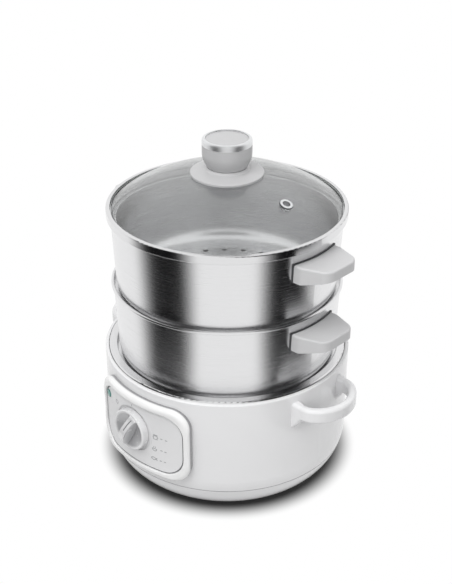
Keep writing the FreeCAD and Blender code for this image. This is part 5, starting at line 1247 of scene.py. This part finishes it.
@dataclass(frozen=True)
class SoftLamp:
    """A large soft disc of light that steel and glass don't mirror."""
    name: str
    place: Place
    width: float
    watts: float
    target: Place = (0.0, 0.0, 0.18)

    def build(self) -> None:
        """Hangs the lamp and turns it to the steamer's middle."""
        lamp = bpy.data.lights.new(self.name, "AREA")
        lamp.shape = "DISK"
        lamp.size = self.width
        lamp.energy = self.watts
        holder = bpy.data.objects.new(self.name, lamp)
        holder.location = self.place
        aim = Vector(self.target) - Vector(self.place)
        holder.rotation_euler = aim.to_track_quat("-Z", "Y").to_euler()
        holder.visible_glossy = False
        holder.visible_transmission = False
        bpy.context.scene.collection.objects.link(holder)


@dataclass
class Studio:
    """A white room with three large soft lamps and two dark flags for the steel.

    The flags stand to both sides of the view, and their angles are counted from it.
    """
    floor_radius: float = 6.0
    floor_sides: int = 96
    ambient: float = 0.68
    lamps: tuple[SoftLamp, ...] = (
        SoftLamp("key_lamp", place=(0.15, -0.8, 1.6), width=1.1, watts=15.5),
        SoftLamp("fill_lamp", place=(1.6, -0.9, 0.9), width=1.2, watts=8.0),
        SoftLamp("back_lamp", place=(-0.9, 1.5, 0.9), width=1.4, watts=7.0))
    flag_cloth: FlagCloth = FlagCloth("black_flag_cloth", "#141415")
    flag_height: float = 1.0
    flag_lift: float = 0.001
    flag_distance: float = 0.27
    flag_aside: float = 49.0
    flag_facing: float = 63.6

    def build(self, view_azimuth: float) -> None:
        """Makes the room.

        Args:
            view_azimuth: where the camera stands, in degrees from the front towards +X.
        """
        self.make_world()
        self.make_floor()
        for lamp in self.lamps:
            lamp.build()
        for number, side in enumerate((-1, 1)):
            self.make_flag(f"flag_{number}", view_azimuth + side * self.flag_aside,
                           view_azimuth + side * self.flag_facing)

    def make_world(self) -> None:
        """Makes a world that is white to the eye and to gloss, and dimmer as a lamp."""
        world = bpy.data.worlds.new("white_room")
        bpy.context.scene.world = world
        world.use_nodes = True
        tree = world.node_tree
        tree.nodes.clear()
        level = add(tree, "MapRange", {"Value": seen_rays(tree), "To Min": self.ambient,
                                       "To Max": 1.0})
        sky = add(tree, "Background", {"Color": linear("#FFFFFF"), "Strength": level})
        add(tree, "OutputWorld", {"Surface": sky})

    def make_floor(self) -> None:
        """Makes the round floor that the feet stand on."""
        rim = arc_points((0.0, 0.0), self.floor_radius, count=self.floor_sides)
        floor = mesh_piece("studio_floor", [Vector((x, y, 0.0)) for x, y in rim],
                           [tuple(range(self.floor_sides))])
        PaleFloor("matt_white_paper_with_painted_shadow", "#FFFFFF").dress(floor)

    def make_flag(self, name: str, azimuth: float, facing: float) -> None:
        """Stands a dark flag on the floor, seen by gloss alone.

        Args:
            name: the flag's name.
            azimuth: where it stands, in degrees from the front towards +X.
            facing: the azimuth of its normal.
        """
        half, tall = self.flag_cloth.half_width, self.flag_height
        corners = [Vector((-half, 0, 0)), Vector((half, 0, 0)), Vector((half, 0, tall)),
                   Vector((-half, 0, tall))]
        flag = mesh_piece(name, corners, [(0, 1, 2, 3)])
        stand = math.radians(azimuth)
        flag.location = (self.flag_distance * math.sin(stand),
                         -self.flag_distance * math.cos(stand), self.flag_lift)
        flag.rotation_euler = (0, 0, math.radians(facing))
        self.flag_cloth.dress(flag)
        for ray in ("camera", "diffuse", "shadow", "transmission"):
            setattr(flag, f"visible_{ray}", False)


@dataclass(frozen=True)
class ViewCamera:
    """The camera, from its place round the steamer and its picture's frame."""
    azimuth: float = 43.0
    distance: float = 1.078
    height: float = 0.8
    target_height: float = 0.2093
    picture_width: int = 452
    picture_height: int = 584
    focal_pixels: float = 1125.0
    target_pixel: Point = (227.1, 292.0)
    sensor_width: float = 36.0
    nearest: float = 0.05
    furthest: float = 50.0

    def build(self) -> None:
        """Makes the camera and sets it as the scene's."""
        lens = bpy.data.cameras.new("view_camera")
        lens.sensor_fit = "HORIZONTAL"
        lens.sensor_width = self.sensor_width
        lens.lens = self.focal_pixels / self.picture_width * self.sensor_width
        lens.shift_x = (self.picture_width / 2 - self.target_pixel[0]) / self.picture_width
        lens.shift_y = (self.target_pixel[1] - self.picture_height / 2) / self.picture_width
        lens.clip_start, lens.clip_end = self.nearest, self.furthest
        camera = bpy.data.objects.new("view_camera", lens)
        turn = math.radians(self.azimuth)
        camera.location = (self.distance * math.sin(turn), -self.distance * math.cos(turn),
                           self.height)
        aim = Vector((0, 0, self.target_height)) - camera.location
        camera.rotation_euler = aim.to_track_quat("-Z", "Y").to_euler()
        bpy.context.scene.collection.objects.link(camera)
        bpy.context.scene.camera = camera


def main() -> None:
    """Builds and dresses every sub-assembly, then the studio and the camera."""
    logging.basicConfig(level=logging.INFO, format="%(name)s: %(message)s")
    bpy.context.scene.view_settings.view_transform = "Standard"
    camera = ViewCamera()
    camera.build()
    Studio().build(camera.azimuth)
    for part in (Housing(), HeatingUnit(), MainsInlet(), ControlPanel(), Dial(), Rack(),
                 Tier("lower_tier"), Tier("upper_tier"), Lid()):
        part.dress()
        made = part.build()
        LOG.info("%s: %d nodes dressed, %d pieces made", type(part).__name__,
                 len(part.finishes), len(made))


if __name__ == "__main__":
    main()
